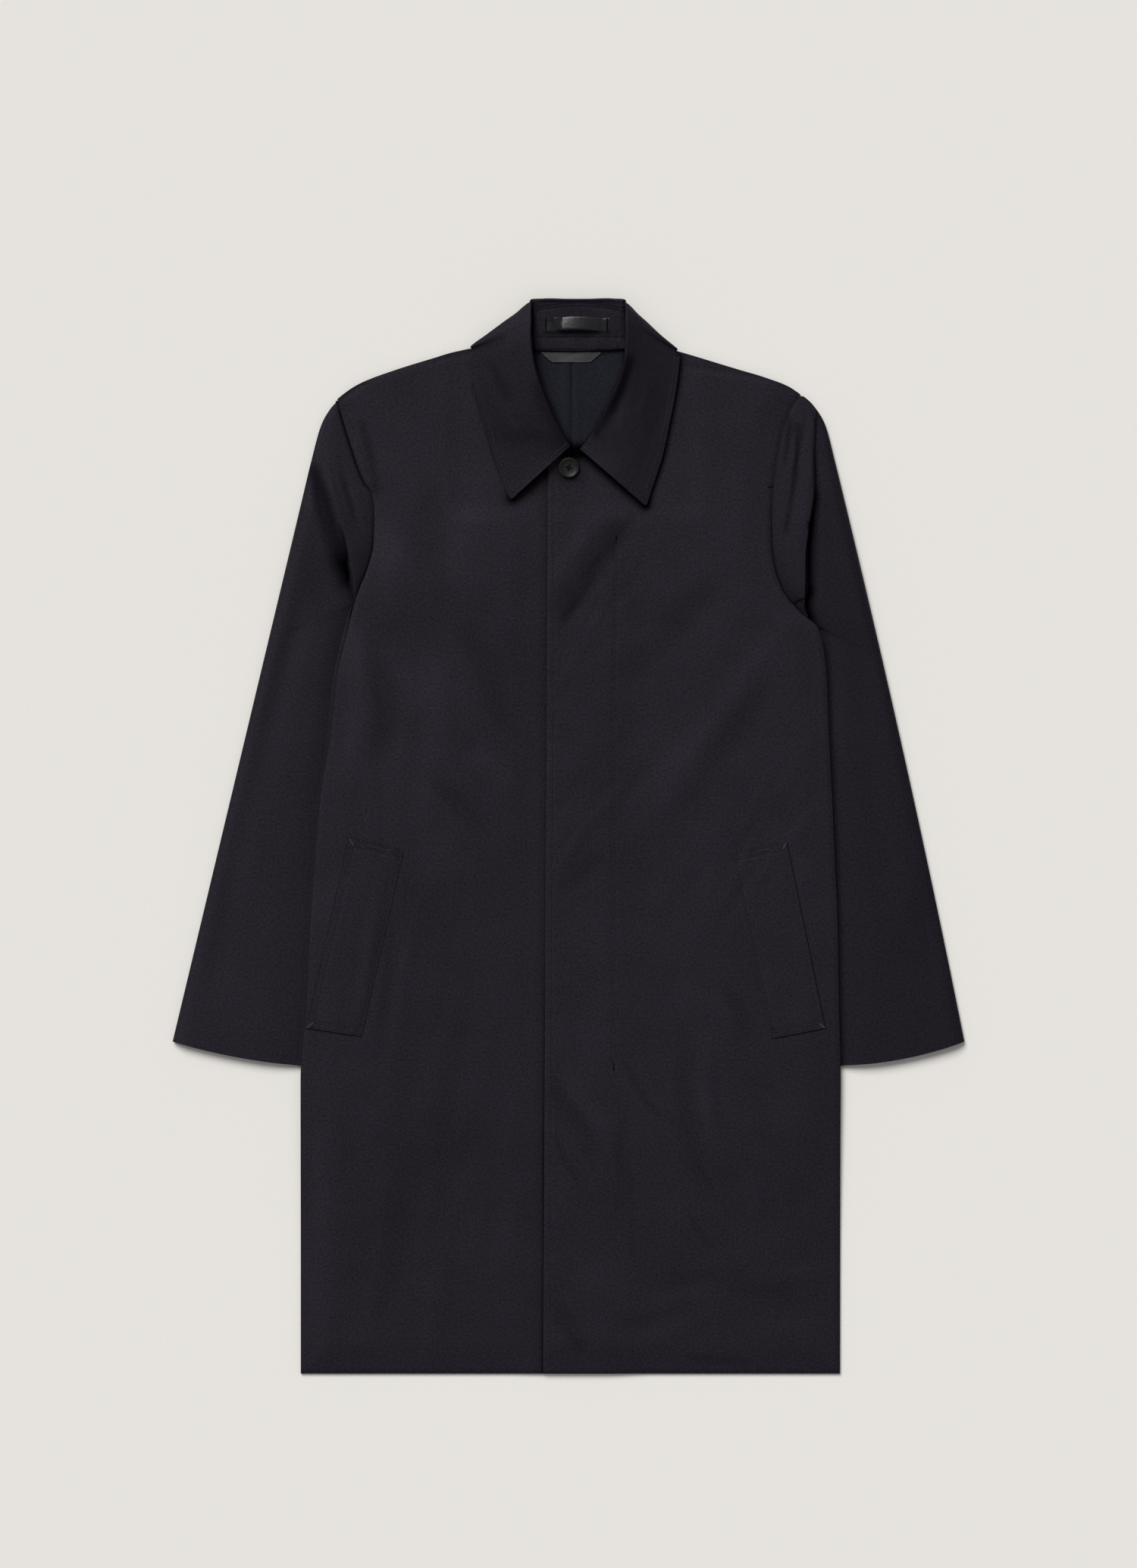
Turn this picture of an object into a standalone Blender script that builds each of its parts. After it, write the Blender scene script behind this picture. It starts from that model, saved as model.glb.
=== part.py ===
"""A fly-front mackintosh laid flat on its back, buttoned at the neck.

Every cut piece of cloth is one thin wall. The coat lies in the XY plane with its hem at -Y, its collar at +Y
and its front facing +Z. Sides are the wearer's: the wearer's right is at -X. Tables are in millimetres, with
heights counted up the coat from its hem.
"""

import math

import bmesh
import bpy
import numpy as np

MM = 0.001

# Driving sizes of the coat
COAT_LENGTH = 1062.8
CLOTH = 1.5
COLLAR_CLOTH = 2.5
STAND_CLOTH = 2.0
WELT_CLOTH = 2.0
LINING_CLOTH = 1.0
TAPE = 0.8
SEAM = 0.3

# How the layers lie on each other
REST_GAP = 0.4
FRONT_AIR = 0.7
FRONT_AIR_REACH = 20.0
SLEEVE_LIFT = 4.0
LIFT_FULL_ACROSS, LIFT_END_ACROSS = 105.0, 175.0
LIFT_FULL_BELOW, LIFT_END_BELOW = 290.0, 225.0
LIFT_FULL_ABOVE, LIFT_END_ABOVE = 757.0, 800.0

# Fly front: the left front laps over the right one
OVERLAP = 22.0
FRONT_EDGE_LEAN = 4.0
LAP_FULL, LAP_END = 34.0, 84.0

# Neck opening and shoulders
NECK_HALF = {-1: 84.0, 1: 88.0}
NECK_POINT_HEIGHT = 1016.5
NECK_DEPTH = 111.5
BACK_NECK_HEIGHT = 1010.0
SHOULDER_BOW, SHOULDER_BOW_SKEW = 7.5, 0.47
YOKE_HEIGHT = 879.0

# How finely the body panels are divided, and where the neckline starts as a share of the width
SHOULDER_COLUMNS = {"front": 9, "back": 8}
NECK_SHARE = {"front": 0.52, "back": 0.58}
FRONT_NECK_ANGLES = (15.0, 30.0, 45.0, 60.0, 75.0, 90.0)
PLACKET_SHARE = 0.9
BACK_NECK_COLUMNS = 5
BULGE_POWER = 3

# Straight outer edge of each sleeve: x at the head, x at the cuff, outward bow, how far the cap rounds in
SLEEVE_TOP_HEIGHT, SLEEVE_CUFF_HEIGHT = 903.0, 328.5
SLEEVE_EDGE = {-1: (254.3, 391.5, 0.0, 7.6), 1: (263.3, 391.5, 3.4, 9.5)}
CAP_HEIGHT, CAP_POWER = 53.0, 4
SLEEVE_EDGE_ROUND = 20.0
SLEEVE_EDGE_TOP = 2.6
CREST_CLEAR = 4.0
ARM_CREST_ROUND = 15.0
CUFF_BOW, CUFF_BOW_ROWS = 5.0, 2.0

# Body outline from the hem to the yoke line: height, wearer's right edge, wearer's left edge
BODY_EDGES = (
    ("hem", 0.0, -264.8, 268.4),
    ("skirt", 115.0, -264.8, 268.5),
    ("below the cuffs", 225.0, -264.8, 268.6),
    ("lift begins", 258.0, -264.8, 268.7),
    ("at the cuffs", 290.0, -264.8, 268.9),
    ("pocket foot", 359.0, -259.2, 267.4),
    ("pocket", 436.0, -255.4, 266.1),
    ("pocket head", 516.0, -249.8, 262.9),
    ("waist", 574.0, -244.5, 260.3),
    ("above the waist", 628.0, -235.5, 257.6),
    ("side", 693.0, -228.0, 254.8),
    ("left underarm", 737.0, -217.5, 246.8),
    ("right underarm", 751.0, -214.5, 231.0),
    ("lower armhole", 773.0, -207.8, 212.3),
    ("armhole curve", 798.0, -198.0, 203.3),
    ("armhole", 820.5, -192.8, 200.0),
    ("armhole inmost", 850.5, -192.0, 199.5),
    ("yoke line", YOKE_HEIGHT, -200.0, 202.0),
)

# Armhole seam above the yoke line: height, wearer's right, wearer's left
UPPER_ARMHOLE = (
    ("yoke line", YOKE_HEIGHT, -200.0, 202.0),
    ("seam bar tack", 915.0, -217.5, 209.0),
    ("sleeve head", 945.0, -222.4, 215.3),
    ("shoulder tip", 963.8, -228.0, 226.5),
)

# Sleeve heads: seam height, outer edge height, crest x and height, loft, rounding at the crest.
# The crest is where the puffed cap drops to the armhole: a crisp pleat on the left, a soft one on the right.
HEAD_ROWS = {
    -1: (
        ("shoulder tip", 963.8, 956.0, -231.5, 959.5, 1.0, 3.0),
        ("cap", 945.0, 938.0, -236.0, 941.0, 3.5, 8.0),
        ("cap front", 915.0, 903.0, -238.0, 908.0, 6.5, 12.0),
        ("yoke line", 879.0, 868.0, -231.0, 873.0, 8.0, 14.0),
        ("soft pleat", 850.5, 836.0, -223.0, 845.0, 8.5, 14.0),
        ("hollow", 820.5, 803.0, -220.0, 815.0, 8.5, 12.0),
        ("pleat foot", 798.0, 772.0, -218.5, 791.0, 8.5, 10.0),
        ("below the pleat", 773.0, 740.0, -219.5, 766.0, 8.5, 9.0),
        ("underarm", 751.0, 711.0, -221.0, 749.0, 8.5, 10.0),
    ),
    1: (
        ("shoulder tip", 963.8, 957.0, 233.5, 960.8, 1.0, 3.0),
        ("cap", 945.0, 938.0, 243.5, 940.5, 4.0, 5.0),
        ("cap front", 915.0, 903.0, 244.5, 906.0, 7.5, 5.0),
        ("yoke line", 879.0, 866.0, 244.0, 870.0, 9.0, 5.0),
        ("knife pleat", 850.5, 834.0, 239.5, 838.0, 9.5, 5.0),
        ("pleat middle", 820.5, 801.0, 236.3, 808.0, 9.5, 5.0),
        ("pleat foot", 798.0, 772.0, 236.3, 782.0, 9.5, 5.0),
        ("below the pleat", 773.0, 742.0, 238.5, 759.0, 9.0, 6.0),
        ("tuck", 751.0, 716.0, 245.0, 743.0, 8.5, 8.0),
        ("underarm", 737.0, 697.0, 253.5, 732.0, 8.5, 10.0),
    ),
}

# Sleeves below the underarm: outer edge height, body edge height, width hidden under the body, loft
ARM_ROWS = (
    ("biceps", 655.0, 690.0, 24.0, 8.5),
    ("upper arm", 600.0, 624.0, 44.0, 8.5),
    ("elbow", 545.0, 560.0, 56.0, 8.0),
    ("forearm", 490.0, 497.0, 61.0, 8.0),
    ("lower forearm", 435.0, 434.0, 59.0, 8.0),
    ("wrist", 385.0, 373.0, 52.0, 8.5),
    ("cuff hem", 348.0, 330.0, 42.0, 9.5),
    ("cuff", SLEEVE_CUFF_HEIGHT, 305.0, 33.0, 10.0),
)
SLEEVE_ACROSS = (0.0, 0.03, 0.09, 0.19, 0.34, 0.52, 0.7, 0.84, 0.94, 1.0)
HIDDEN_ACROSS = (0.35, 0.7, 1.0)
UNDER_ACROSS = 5

# Largest soft folds: side, start x and height, end x and height, half width, rise (below 0 for a hollow)
FRONT_FOLDS = (
    ("right chest", -1, (-152.0, 925.0), (-126.0, 805.0), 32.0, 3.0),
    ("right waist drape", -1, (-180.0, 705.0), (-168.0, 585.0), 30.0, 3.0),
    ("right hip drape", -1, (-145.0, 652.0), (-66.0, 535.0), 27.0, 2.5),
    ("right skirt", -1, (-224.0, 235.0), (-231.0, 42.0), 30.0, 3.0),
    ("left chest drape", 1, (203.0, 742.0), (60.0, 525.0), 34.0, 3.0),
    ("left collar drape", 1, (66.0, 836.0), (14.0, 757.0), 23.0, 2.5),
    ("below the fly", 1, (0.0, 282.0), (26.0, 212.0), 24.0, 2.5),
    ("left skirt", 1, (82.0, 92.0), (228.0, 78.0), 28.0, 2.5),
)
SLEEVE_FOLDS = (
    ("right cap ridge", -1, (-248.0, 880.0), (-232.0, 822.0), 16.0, 2.0),
    ("right arm hollow", -1, (-266.0, 768.0), (-300.0, 610.0), 24.0, -3.5),
    ("left arm hollow", 1, (282.0, 720.0), (304.0, 590.0), 24.0, -3.0),
    ("left forearm ridge", 1, (318.0, 540.0), (340.0, 420.0), 26.0, 2.0),
)

# Collar from the wearer's right point round the back of the neck to the left one.
# roll: x, height, z of the rolled edge. fold: x, height where the fall turns under, or None.
# edge: x, height, z of the free edge.
# seam: where the stand is sewn on, as degrees round the front neck (90 at the centre) or x at the back neck.
COLLAR_ROWS = (
    ("right point", (1.5, 916.5, 11.0), None, (-57.0, 865.5, 10.0), ("front", -1, 84.0)),
    ("right front", (-11.3, 936.0, 15.0), None, (-64.5, 880.5, 8.8), ("front", -1, 72.0)),
    ("right leaf", (-25.5, 966.8, 20.0), None, (-74.3, 909.0, 7.8), ("front", -1, 54.0)),
    ("right side", (-34.5, 993.8, 22.0), None, (-84.8, 942.8, 7.4), ("front", -1, 36.0)),
    ("right neck", (-38.3, 1021.5, 22.0), None, (-94.5, 980.3, 7.4), ("front", -1, 18.0)),
    ("right shoulder", (-38.3, 1038.0, 20.0), None, (-96.8, 1006.0, 7.8), ("front", -1, 7.0)),
    ("right turn", (-38.0, 1046.0, 18.0), None, (-98.0, 1019.5, 4.8), ("back", -1, 72.0)),
    ("right fold", (-37.0, 1052.0, 15.5), (-81.8, 1026.0), (-76.0, 1023.5, 1.4), ("back", -1, 62.0)),
    ("right corner", (-34.0, 1055.5, 12.5), (-57.0, 1045.5), (-50.0, 1019.5, 1.4), ("back", -1, 48.0)),
    ("right back", (-27.0, 1056.0, 9.6), (-30.0, 1061.1), (-27.0, 1016.0, 1.4), ("back", -1, 28.0)),
    ("centre back", (9.0, 1056.0, 9.6), (9.0, 1061.5), (9.0, 1016.0, 1.4), ("back", 1, 9.0)),
    ("left back", (44.0, 1056.0, 9.6), (49.0, 1061.1), (44.0, 1016.0, 1.4), ("back", 1, 44.0)),
    ("left corner", (53.5, 1055.5, 12.5), (73.5, 1045.5), (62.0, 1019.5, 1.4), ("back", 1, 54.0)),
    ("left fold", (56.5, 1052.0, 15.5), (94.5, 1024.5), (84.0, 1023.5, 1.4), ("back", 1, 64.0)),
    ("left turn", (57.5, 1046.0, 18.0), None, (108.5, 1017.0, 4.8), ("back", 1, 74.0)),
    ("left shoulder", (57.8, 1038.0, 20.0), None, (109.5, 1005.0, 7.8), ("front", 1, 7.0)),
    ("left neck", (57.8, 1021.5, 22.0), None, (107.3, 980.3, 7.4), ("front", 1, 18.0)),
    ("left side", (54.8, 993.8, 22.0), None, (100.5, 942.8, 7.4), ("front", 1, 36.0)),
    ("left leaf", (44.3, 966.8, 20.0), None, (92.3, 905.3, 7.8), ("front", 1, 54.0)),
    ("left front", (26.3, 931.5, 15.0), None, (82.5, 875.3, 8.8), ("front", 1, 72.0)),
    ("left point", (11.6, 913.5, 11.0), None, (75.8, 859.5, 10.0), ("front", 1, 84.0)),
)
COLLAR_STEPS_BETWEEN_ROWS = 2
FALL_ACROSS = 7
FALL_DROP_POWER = 1.3
FOLDED_SHARES = (0.0, 0.36, 0.72, 1.0)
FOLD_ROUND = 2.4
FOLD_TOP = 8.6
STAND_ACROSS = 5
STAND_UNDER_ROLL = 3.3
STAND_BACK_STEP = 1.6
LEVEL_ROLL = 10.6
SEAM_INSET = 0.985
SEAM_HEIGHT = {"front": 5.6, "back": 4.3}
SEAM_HEIGHT_AT_POINTS, POINT_ANGLE = 7.4, 70.0

# Pocket welts: corners as x, height, from the upper outer corner round by the upper inner one
WELTS = {
    -1: ((-216.8, 530.3), (-162.0, 518.3), (-204.0, 333.0), (-259.5, 341.3)),
    1: ((216.0, 526.5), (161.3, 515.3), (200.3, 330.8), (254.3, 341.3)),
}
WELT_ACROSS, WELT_ALONG = 3, 6

# Neck button, and its turned profile as radius and height
BUTTON_PLACE = (0.4, 895.5)
BUTTON_TURN = 28.0
BUTTON_SHANK = 0.35
BUTTON_PROFILE = (
    ("dish centre", 0.0, 2.5),
    ("dish edge", 7.0, 2.5),
    ("rim inside", 8.2, 3.2),
    ("rim top", 9.2, 3.4),
    ("rim outside", 10.2, 2.5),
    ("wall foot", 10.2, 1.3),
    ("underside edge", 8.0, 0.0),
    ("underside centre", 0.0, 0.0),
)
BUTTON_STEPS = 28
BUTTON_HOLES, BUTTON_HOLE_RADIUS, BUTTON_HOLE_OFFSET = 4, 1.0, 2.0
BUTTON_HOLE_SIDES, BUTTON_HOLE_DEPTH = 10, 14.0
MERGE = 0.00001

# Hanger loop and neck label, as x and height spans
LOOP_SPAN, LOOP_HEIGHTS, LOOP_END = (-24.0, 39.8), (1030.0, 1043.0), 7.0
LOOP_ARCH, LOOP_ARCH_POWER, LOOP_STEPS = 6.6, 0.7, 9
LABEL_TOP, LABEL_FOOT, LABEL_HEIGHTS = (-26.5, 32.3), (-16.0, 21.0), (1000.5, 1009.6)

# Back lining, seen in the neck opening
LINING_FOOT, LINING_TOP, LINING_INSET = 912.0, 1009.4, 3.2
LINING_ROWS, LINING_COLUMNS = 8, 5

# Looks: linear colour and roughness
COTTON = ((0.018, 0.016, 0.023), 0.85)
LINING = ((0.014, 0.014, 0.022), 0.7)
SATIN = ((0.036, 0.034, 0.040), 0.35)
LABEL = ((0.058, 0.055, 0.062), 0.45)
HORN = ((0.017, 0.014, 0.016), 0.3)
SHARP_ANGLE = 40.0

SIDE_NAMES = {-1: "right", 1: "left"}


def ease(value):
    """0 to 1 with a flat start and end."""
    value = np.clip(value, 0.0, 1.0)
    return value * value * (3.0 - 2.0 * value)


def rounded(value):
    """0 to 1 along a quarter circle, steep at the start."""
    value = np.clip(value, 0.0, 1.0)
    return np.sqrt(1.0 - (1.0 - value) ** 2)


def read(table, column, height):
    """A column of a table at a height, with straight stretches between its rows."""
    heights = [row[1] for row in table]
    values = [row[column] for row in table]
    return np.interp(height, heights, values)


def body_edge(side, height):
    """x of the body's outer edge at a height up to the yoke line."""
    return read(BODY_EDGES, 2 if side < 0 else 3, height)


def lift(x, height):
    """How far the sleeves under the body raise it off the floor."""
    side = np.where(x < 0.0, -1, 1)
    edge = np.where(side < 0, body_edge(-1, height), body_edge(1, height))
    inward = (edge - x) * side
    across = ease((LIFT_END_ACROSS - inward) / (LIFT_END_ACROSS - LIFT_FULL_ACROSS))
    below = ease((height - LIFT_END_BELOW) / (LIFT_FULL_BELOW - LIFT_END_BELOW))
    above = ease((LIFT_END_ABOVE - height) / (LIFT_END_ABOVE - LIFT_FULL_ABOVE))
    return SLEEVE_LIFT * across * below * above


def shoulder_point(side, along):
    """x and height on the shoulder line, from the armhole tip (0) to the neck point (1)."""
    tip_x = UPPER_ARMHOLE[-1][2 if side < 0 else 3]
    tip_height = UPPER_ARMHOLE[-1][1]
    bow = SHOULDER_BOW * math.sin(math.pi * along**SHOULDER_BOW_SKEW)
    x = tip_x + (side * NECK_HALF[side] - tip_x) * along
    return x, tip_height + (NECK_POINT_HEIGHT - tip_height) * along + bow


def front_neck_point(side, degrees, scale=1.0):
    """x and height on the front neckline, from the neck point (0 degrees) to the centre front (90)."""
    angle = math.radians(degrees)
    x = side * NECK_HALF[side] * scale * math.cos(angle)
    return x, NECK_POINT_HEIGHT - NECK_DEPTH * scale * math.sin(angle)


def back_neck_height(side, x):
    """Height of the back neck seam at x."""
    return BACK_NECK_HEIGHT + (NECK_POINT_HEIGHT - BACK_NECK_HEIGHT) * (x / NECK_HALF[side]) ** 2


def panel_plan(side, top, middle_x):
    """Plan of a body panel as rows of (x, height), from the hem to its top edge.

    top lists (share across, x, height) along the upper edge, from the armhole tip to the middle edge;
    middle_x gives the middle edge's x at a height. A row halfway between each two keeps the folds smooth.
    """
    shares = [share for share, _, _ in top]
    rows = []
    for row in BODY_EDGES:
        edge = row[2 if side < 0 else 3]
        inner = middle_x(row[1])
        rows.append([(edge + (inner - edge) * share, row[1]) for share in shares])
    yoke = rows[-1]
    tip = UPPER_ARMHOLE[-1]
    column = 2 if side < 0 else 3
    for row in UPPER_ARMHOLE[1:]:
        up = (row[1] - YOKE_HEIGHT) / (tip[1] - YOKE_HEIGHT)
        straight = UPPER_ARMHOLE[0][column] + (tip[column] - UPPER_ARMHOLE[0][column]) * up
        bulge = row[column] - straight
        line = []
        for (low_x, low_height), (share, top_x, top_height) in zip(yoke, top):
            x = low_x + (top_x - low_x) * up + bulge * (1.0 - share) ** BULGE_POWER
            line.append((x, low_height + (top_height - low_height) * up))
        rows.append(line)
    rows = np.array(rows)
    plan = np.empty((2 * len(rows) - 1, *rows.shape[1:]))
    plan[0::2] = rows
    plan[1::2] = (rows[:-1] + rows[1:]) / 2.0
    return plan


def front_middle(side, height):
    """x of a front's own edge: past the centre by the overlap, leaning out a little to the hem."""
    lean = FRONT_EDGE_LEAN * (1.0 - np.clip(height / YOKE_HEIGHT, 0.0, 1.0))
    return -side * (OVERLAP + lean)


def front_plan(side):
    """Plan of one front: side seam and armhole, shoulder, neckline and front edge."""
    neck_share = NECK_SHARE["front"]
    along = np.linspace(0.0, 1.0, SHOULDER_COLUMNS["front"])
    shoulder = [(neck_share * a, *shoulder_point(side, a)) for a in along]
    neck = []
    for degrees in FRONT_NECK_ANGLES:
        share = neck_share + (PLACKET_SHARE - neck_share) * degrees / 90.0
        neck.append((share, *front_neck_point(side, degrees)))
    corner = (1.0, float(front_middle(side, YOKE_HEIGHT)), NECK_POINT_HEIGHT - NECK_DEPTH)
    return panel_plan(side, shoulder + neck + [corner], lambda h: front_middle(side, h))


def back_plan(side):
    """Plan of one half of the back, from the side seam to the centre back seam."""
    neck_share = NECK_SHARE["back"]
    centre = side * SEAM / 2.0
    shares = np.linspace(0.0, 1.0, SHOULDER_COLUMNS["back"])
    shoulder = [(neck_share * a, *shoulder_point(side, a)) for a in shares]
    neck = []
    for along in np.linspace(0.0, 1.0, BACK_NECK_COLUMNS + 1)[1:]:
        x = side * NECK_HALF[side] * (1.0 - along) + centre * along
        neck.append((neck_share + (1.0 - neck_share) * along, x, back_neck_height(side, x)))
    return panel_plan(side, shoulder + neck, lambda h: centre)


def soft_folds(table, side, x, height):
    """Rise of the soft folds of one side at a point."""
    rise = np.zeros_like(x, dtype=float)
    for _, fold_side, start, end, half_width, top in table:
        if fold_side != side:
            continue
        way = np.array(end) - np.array(start)
        along = ((x - start[0]) * way[0] + (height - start[1]) * way[1]) / way.dot(way)
        along = np.clip(along, 0.0, 1.0)
        away = np.hypot(x - start[0] - along * way[0], height - start[1] - along * way[1])
        rise = rise + top * ease(1.0 - away / half_width)
    return rise


def back_top(x, height):
    """Upper face of the back."""
    return lift(x, height) + CLOTH


def front_top(side, x, height):
    """Upper face of a front, which lies on the back and, at the fly, on the other front."""
    edge = body_edge(side, np.minimum(height, YOKE_HEIGHT))
    inward = np.minimum((edge - x) * side, height)
    air = FRONT_AIR * ease(inward / FRONT_AIR_REACH)
    lap = (CLOTH + REST_GAP) * ease((LAP_END - x) / (LAP_END - LAP_FULL)) if side > 0 else 0.0
    folds = soft_folds(FRONT_FOLDS, side, x, height)
    return lift(x, height) + 2.0 * CLOTH + REST_GAP + air + lap + folds


def sleeve_outer_x(side, height):
    """x of a sleeve's outer edge."""
    top, cuff, bow, cap = SLEEVE_EDGE[side]
    down = (SLEEVE_TOP_HEIGHT - height) / (SLEEVE_TOP_HEIGHT - SLEEVE_CUFF_HEIGHT)
    x = top + (cuff - top) * down + bow * 4.0 * down * max(1.0 - down, 0.0) * (down > 0.0)
    into_cap = max(height - SLEEVE_TOP_HEIGHT, 0.0) / CAP_HEIGHT
    return side * (x - cap * into_cap**CAP_POWER)


def sleeve_rows(side):
    """Each sleeve section as (outer, crest and inner points in x and height, loft, crest rounding)."""
    rows = []
    for _, seam, outer, crest_x, crest_height, loft, rounding in HEAD_ROWS[side]:
        table = UPPER_ARMHOLE if seam > YOKE_HEIGHT else BODY_EDGES
        inner = (read(table, 2 if side < 0 else 3, seam) + side * REST_GAP, seam)
        rows.append(((sleeve_outer_x(side, outer), outer), (crest_x, crest_height), inner, loft, rounding))
    for _, outer, edge_height, hidden, loft in ARM_ROWS:
        start = np.array((sleeve_outer_x(side, outer), outer))
        crest = np.array((body_edge(side, edge_height) + side * CREST_CLEAR, edge_height))
        inward = (crest - start) / np.linalg.norm(crest - start)
        rows.append((tuple(start), tuple(crest), tuple(crest + inward * hidden), loft, ARM_CREST_ROUND))
    return rows


def cuff_drop(row_number, row_count, share):
    """How far the cuff edge bows below a straight line across the sleeve."""
    fade = max(0.0, 1.0 - (row_count - 1 - row_number) / CUFF_BOW_ROWS)
    return CUFF_BOW * fade * 4.0 * share * (1.0 - share)


def top_sleeve_points(side):
    """Upper face of a sleeve's top half, puffed up between its outer edge and its crest."""
    rows = sleeve_rows(side)
    points = []
    for number, (outer, crest, inner, loft, rounding) in enumerate(rows):
        outer, crest, inner = np.array(outer), np.array(crest), np.array(inner)
        span = np.linalg.norm(crest - outer)
        line = []
        for share in SLEEVE_ACROSS:
            x, height = outer + (crest - outer) * share
            edge = rounded(share * span / min(SLEEVE_EDGE_ROUND, 0.5 * span))
            fall = rounded((1.0 - share) * span / min(rounding, 0.5 * span))
            rim = (2.0 * CLOTH + REST_GAP - SLEEVE_EDGE_TOP) * edge
            fold = float(soft_folds(SLEEVE_FOLDS, side, x, height))
            z = SLEEVE_EDGE_TOP + rim + (loft + fold) * edge * fall
            line.append((x, height - cuff_drop(number, len(rows), share), z))
        for share in HIDDEN_ACROSS:
            x, height = crest + (inner - crest) * share
            line.append((x, height, 2.0 * CLOTH + REST_GAP))
        points.append(line)
    return np.array(points)


def under_sleeve_points(side):
    """Upper face of a sleeve's under half, flat on the floor."""
    rows = sleeve_rows(side)
    points = []
    for number, (outer, crest, inner, _, _) in enumerate(rows):
        outer, crest, inner = np.array(outer), np.array(crest), np.array(inner)
        whole = np.linalg.norm(crest - outer) + np.linalg.norm(inner - crest)
        crest_share = np.linalg.norm(crest - outer) / whole
        line = []
        for share in np.linspace(0.0, 1.0, UNDER_ACROSS):
            if share < crest_share:
                x, height = outer + (crest - outer) * share / crest_share
            else:
                x, height = crest + (inner - crest) * (share - crest_share) / (1.0 - crest_share)
            visible = min(share / crest_share, 1.0)
            line.append((x, height - cuff_drop(number, len(rows), visible), CLOTH))
        points.append(line)
    return np.array(points)


def fall_section(roll, fold, edge):
    """One section of the collar fall, from the rolled edge out to its free edge."""
    roll, edge = np.array(roll), np.array(edge)
    if fold is None:
        shares = np.linspace(0.0, 1.0, FALL_ACROSS + 1)
        line = roll + (edge - roll) * shares[:, None]
        line[:, 2] = edge[2] + (roll[2] - edge[2]) * (1.0 - shares) ** FALL_DROP_POWER
        return line
    turn = np.array((*fold, (FOLD_TOP + edge[2]) / 2.0))
    back = roll[:2] - turn[:2]
    back = back / np.linalg.norm(back) * FOLD_ROUND
    over = np.array((*(turn[:2] + back), FOLD_TOP))
    under_way = edge[:2] - turn[:2]
    under_way = under_way / np.linalg.norm(under_way) * FOLD_ROUND
    under = np.array((*(turn[:2] + under_way), edge[2]))
    top = [roll + (over - roll) * share for share in FOLDED_SHARES]
    return np.array([*top, turn, under, (under + edge) / 2.0, edge])


def stand_section(roll, fold, edge, seam):
    """One section of the collar stand, from the neck seam up to the edge it shares with the fall."""
    zone, side, place = seam
    if zone == "front":
        x, height = front_neck_point(side, place, SEAM_INSET)
        z = SEAM_HEIGHT_AT_POINTS if place > POINT_ANGLE else SEAM_HEIGHT["front"]
    else:
        x = side * place
        height = back_neck_height(side, x) + STAND_CLOTH / 2.0
        z = SEAM_HEIGHT["back"]
    foot = np.array((x, height, z))
    head = np.array(roll, dtype=float)
    reach = foot[:2] - head[:2]
    reach = reach / np.linalg.norm(reach) * STAND_BACK_STEP
    level = fold is not None and roll[2] < LEVEL_ROLL
    head += np.array((*reach, 0.0 if level else -STAND_UNDER_ROLL))
    shares = np.linspace(0.0, 1.0, STAND_ACROSS + 1)
    return foot + (head - foot) * shares[:, None]


def eased_between(sections, steps):
    """More sections between the given ones, on a smooth curve through each line of points."""
    sections = np.array(sections)
    last = len(sections) - 1
    out = []
    for number in range(last * steps + 1):
        base = min(number // steps, last - 1)
        t = number / steps - base
        before = sections[max(base - 1, 0)]
        first, second = sections[base], sections[base + 1]
        after = sections[min(base + 2, last)]
        start_slope, end_slope = (second - before) / 2.0, (after - first) / 2.0
        rise = 3.0 * t**2 - 2.0 * t**3
        out.append(
            first * (1.0 - rise)
            + second * rise
            + start_slope * (t**3 - 2.0 * t**2 + t)
            + end_slope * (t**3 - t**2)
        )
    return np.array(out)


def fall_points():
    """The collar fall, both leaves and the turned back part."""
    sections = [fall_section(roll, fold, edge) for _, roll, fold, edge, _ in COLLAR_ROWS]
    return eased_between(sections, COLLAR_STEPS_BETWEEN_ROWS)


def stand_points():
    """The collar stand, from the right centre front round the neck to the left one."""
    sections = [stand_section(roll, fold, edge, seam) for _, roll, fold, edge, seam in COLLAR_ROWS]
    return eased_between(sections, COLLAR_STEPS_BETWEEN_ROWS)


def stand_top(height):
    """Upper face of the stand at the back of the neck."""
    head = COLLAR_ROWS[len(COLLAR_ROWS) // 2][1]
    foot_height = BACK_NECK_HEIGHT + STAND_CLOTH / 2.0
    slope = (head[2] - SEAM_HEIGHT["back"]) / (head[1] - STAND_BACK_STEP - foot_height)
    return SEAM_HEIGHT["back"] + (height - foot_height) * slope + STAND_CLOTH / 2.0


def on_plan(plan, face):
    """Plan rows of (x, height) with the z that face gives at each point."""
    z = face(plan[..., 0], plan[..., 1])
    return np.dstack([plan[..., 0], plan[..., 1], z])


def patch(corners, across, along):
    """Plan rows between four corners, the first two at the top and the others going on round."""
    upper_outer, upper_inner, lower_inner, lower_outer = (np.array(corner) for corner in corners)
    rows = []
    for down in np.linspace(0.0, 1.0, along + 1):
        start = upper_outer + (lower_outer - upper_outer) * down
        end = upper_inner + (lower_inner - upper_inner) * down
        rows.append([start + (end - start) * share for share in np.linspace(0.0, 1.0, across + 1)])
    return np.array(rows)


def welt_points(side):
    """Upper face of a pocket welt, which lies on its front."""
    flat = SLEEVE_LIFT + 2.0 * CLOTH + REST_GAP + FRONT_AIR + REST_GAP + WELT_CLOTH
    return on_plan(patch(WELTS[side], WELT_ACROSS, WELT_ALONG), lambda x, height: np.full_like(x, flat))


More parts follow.
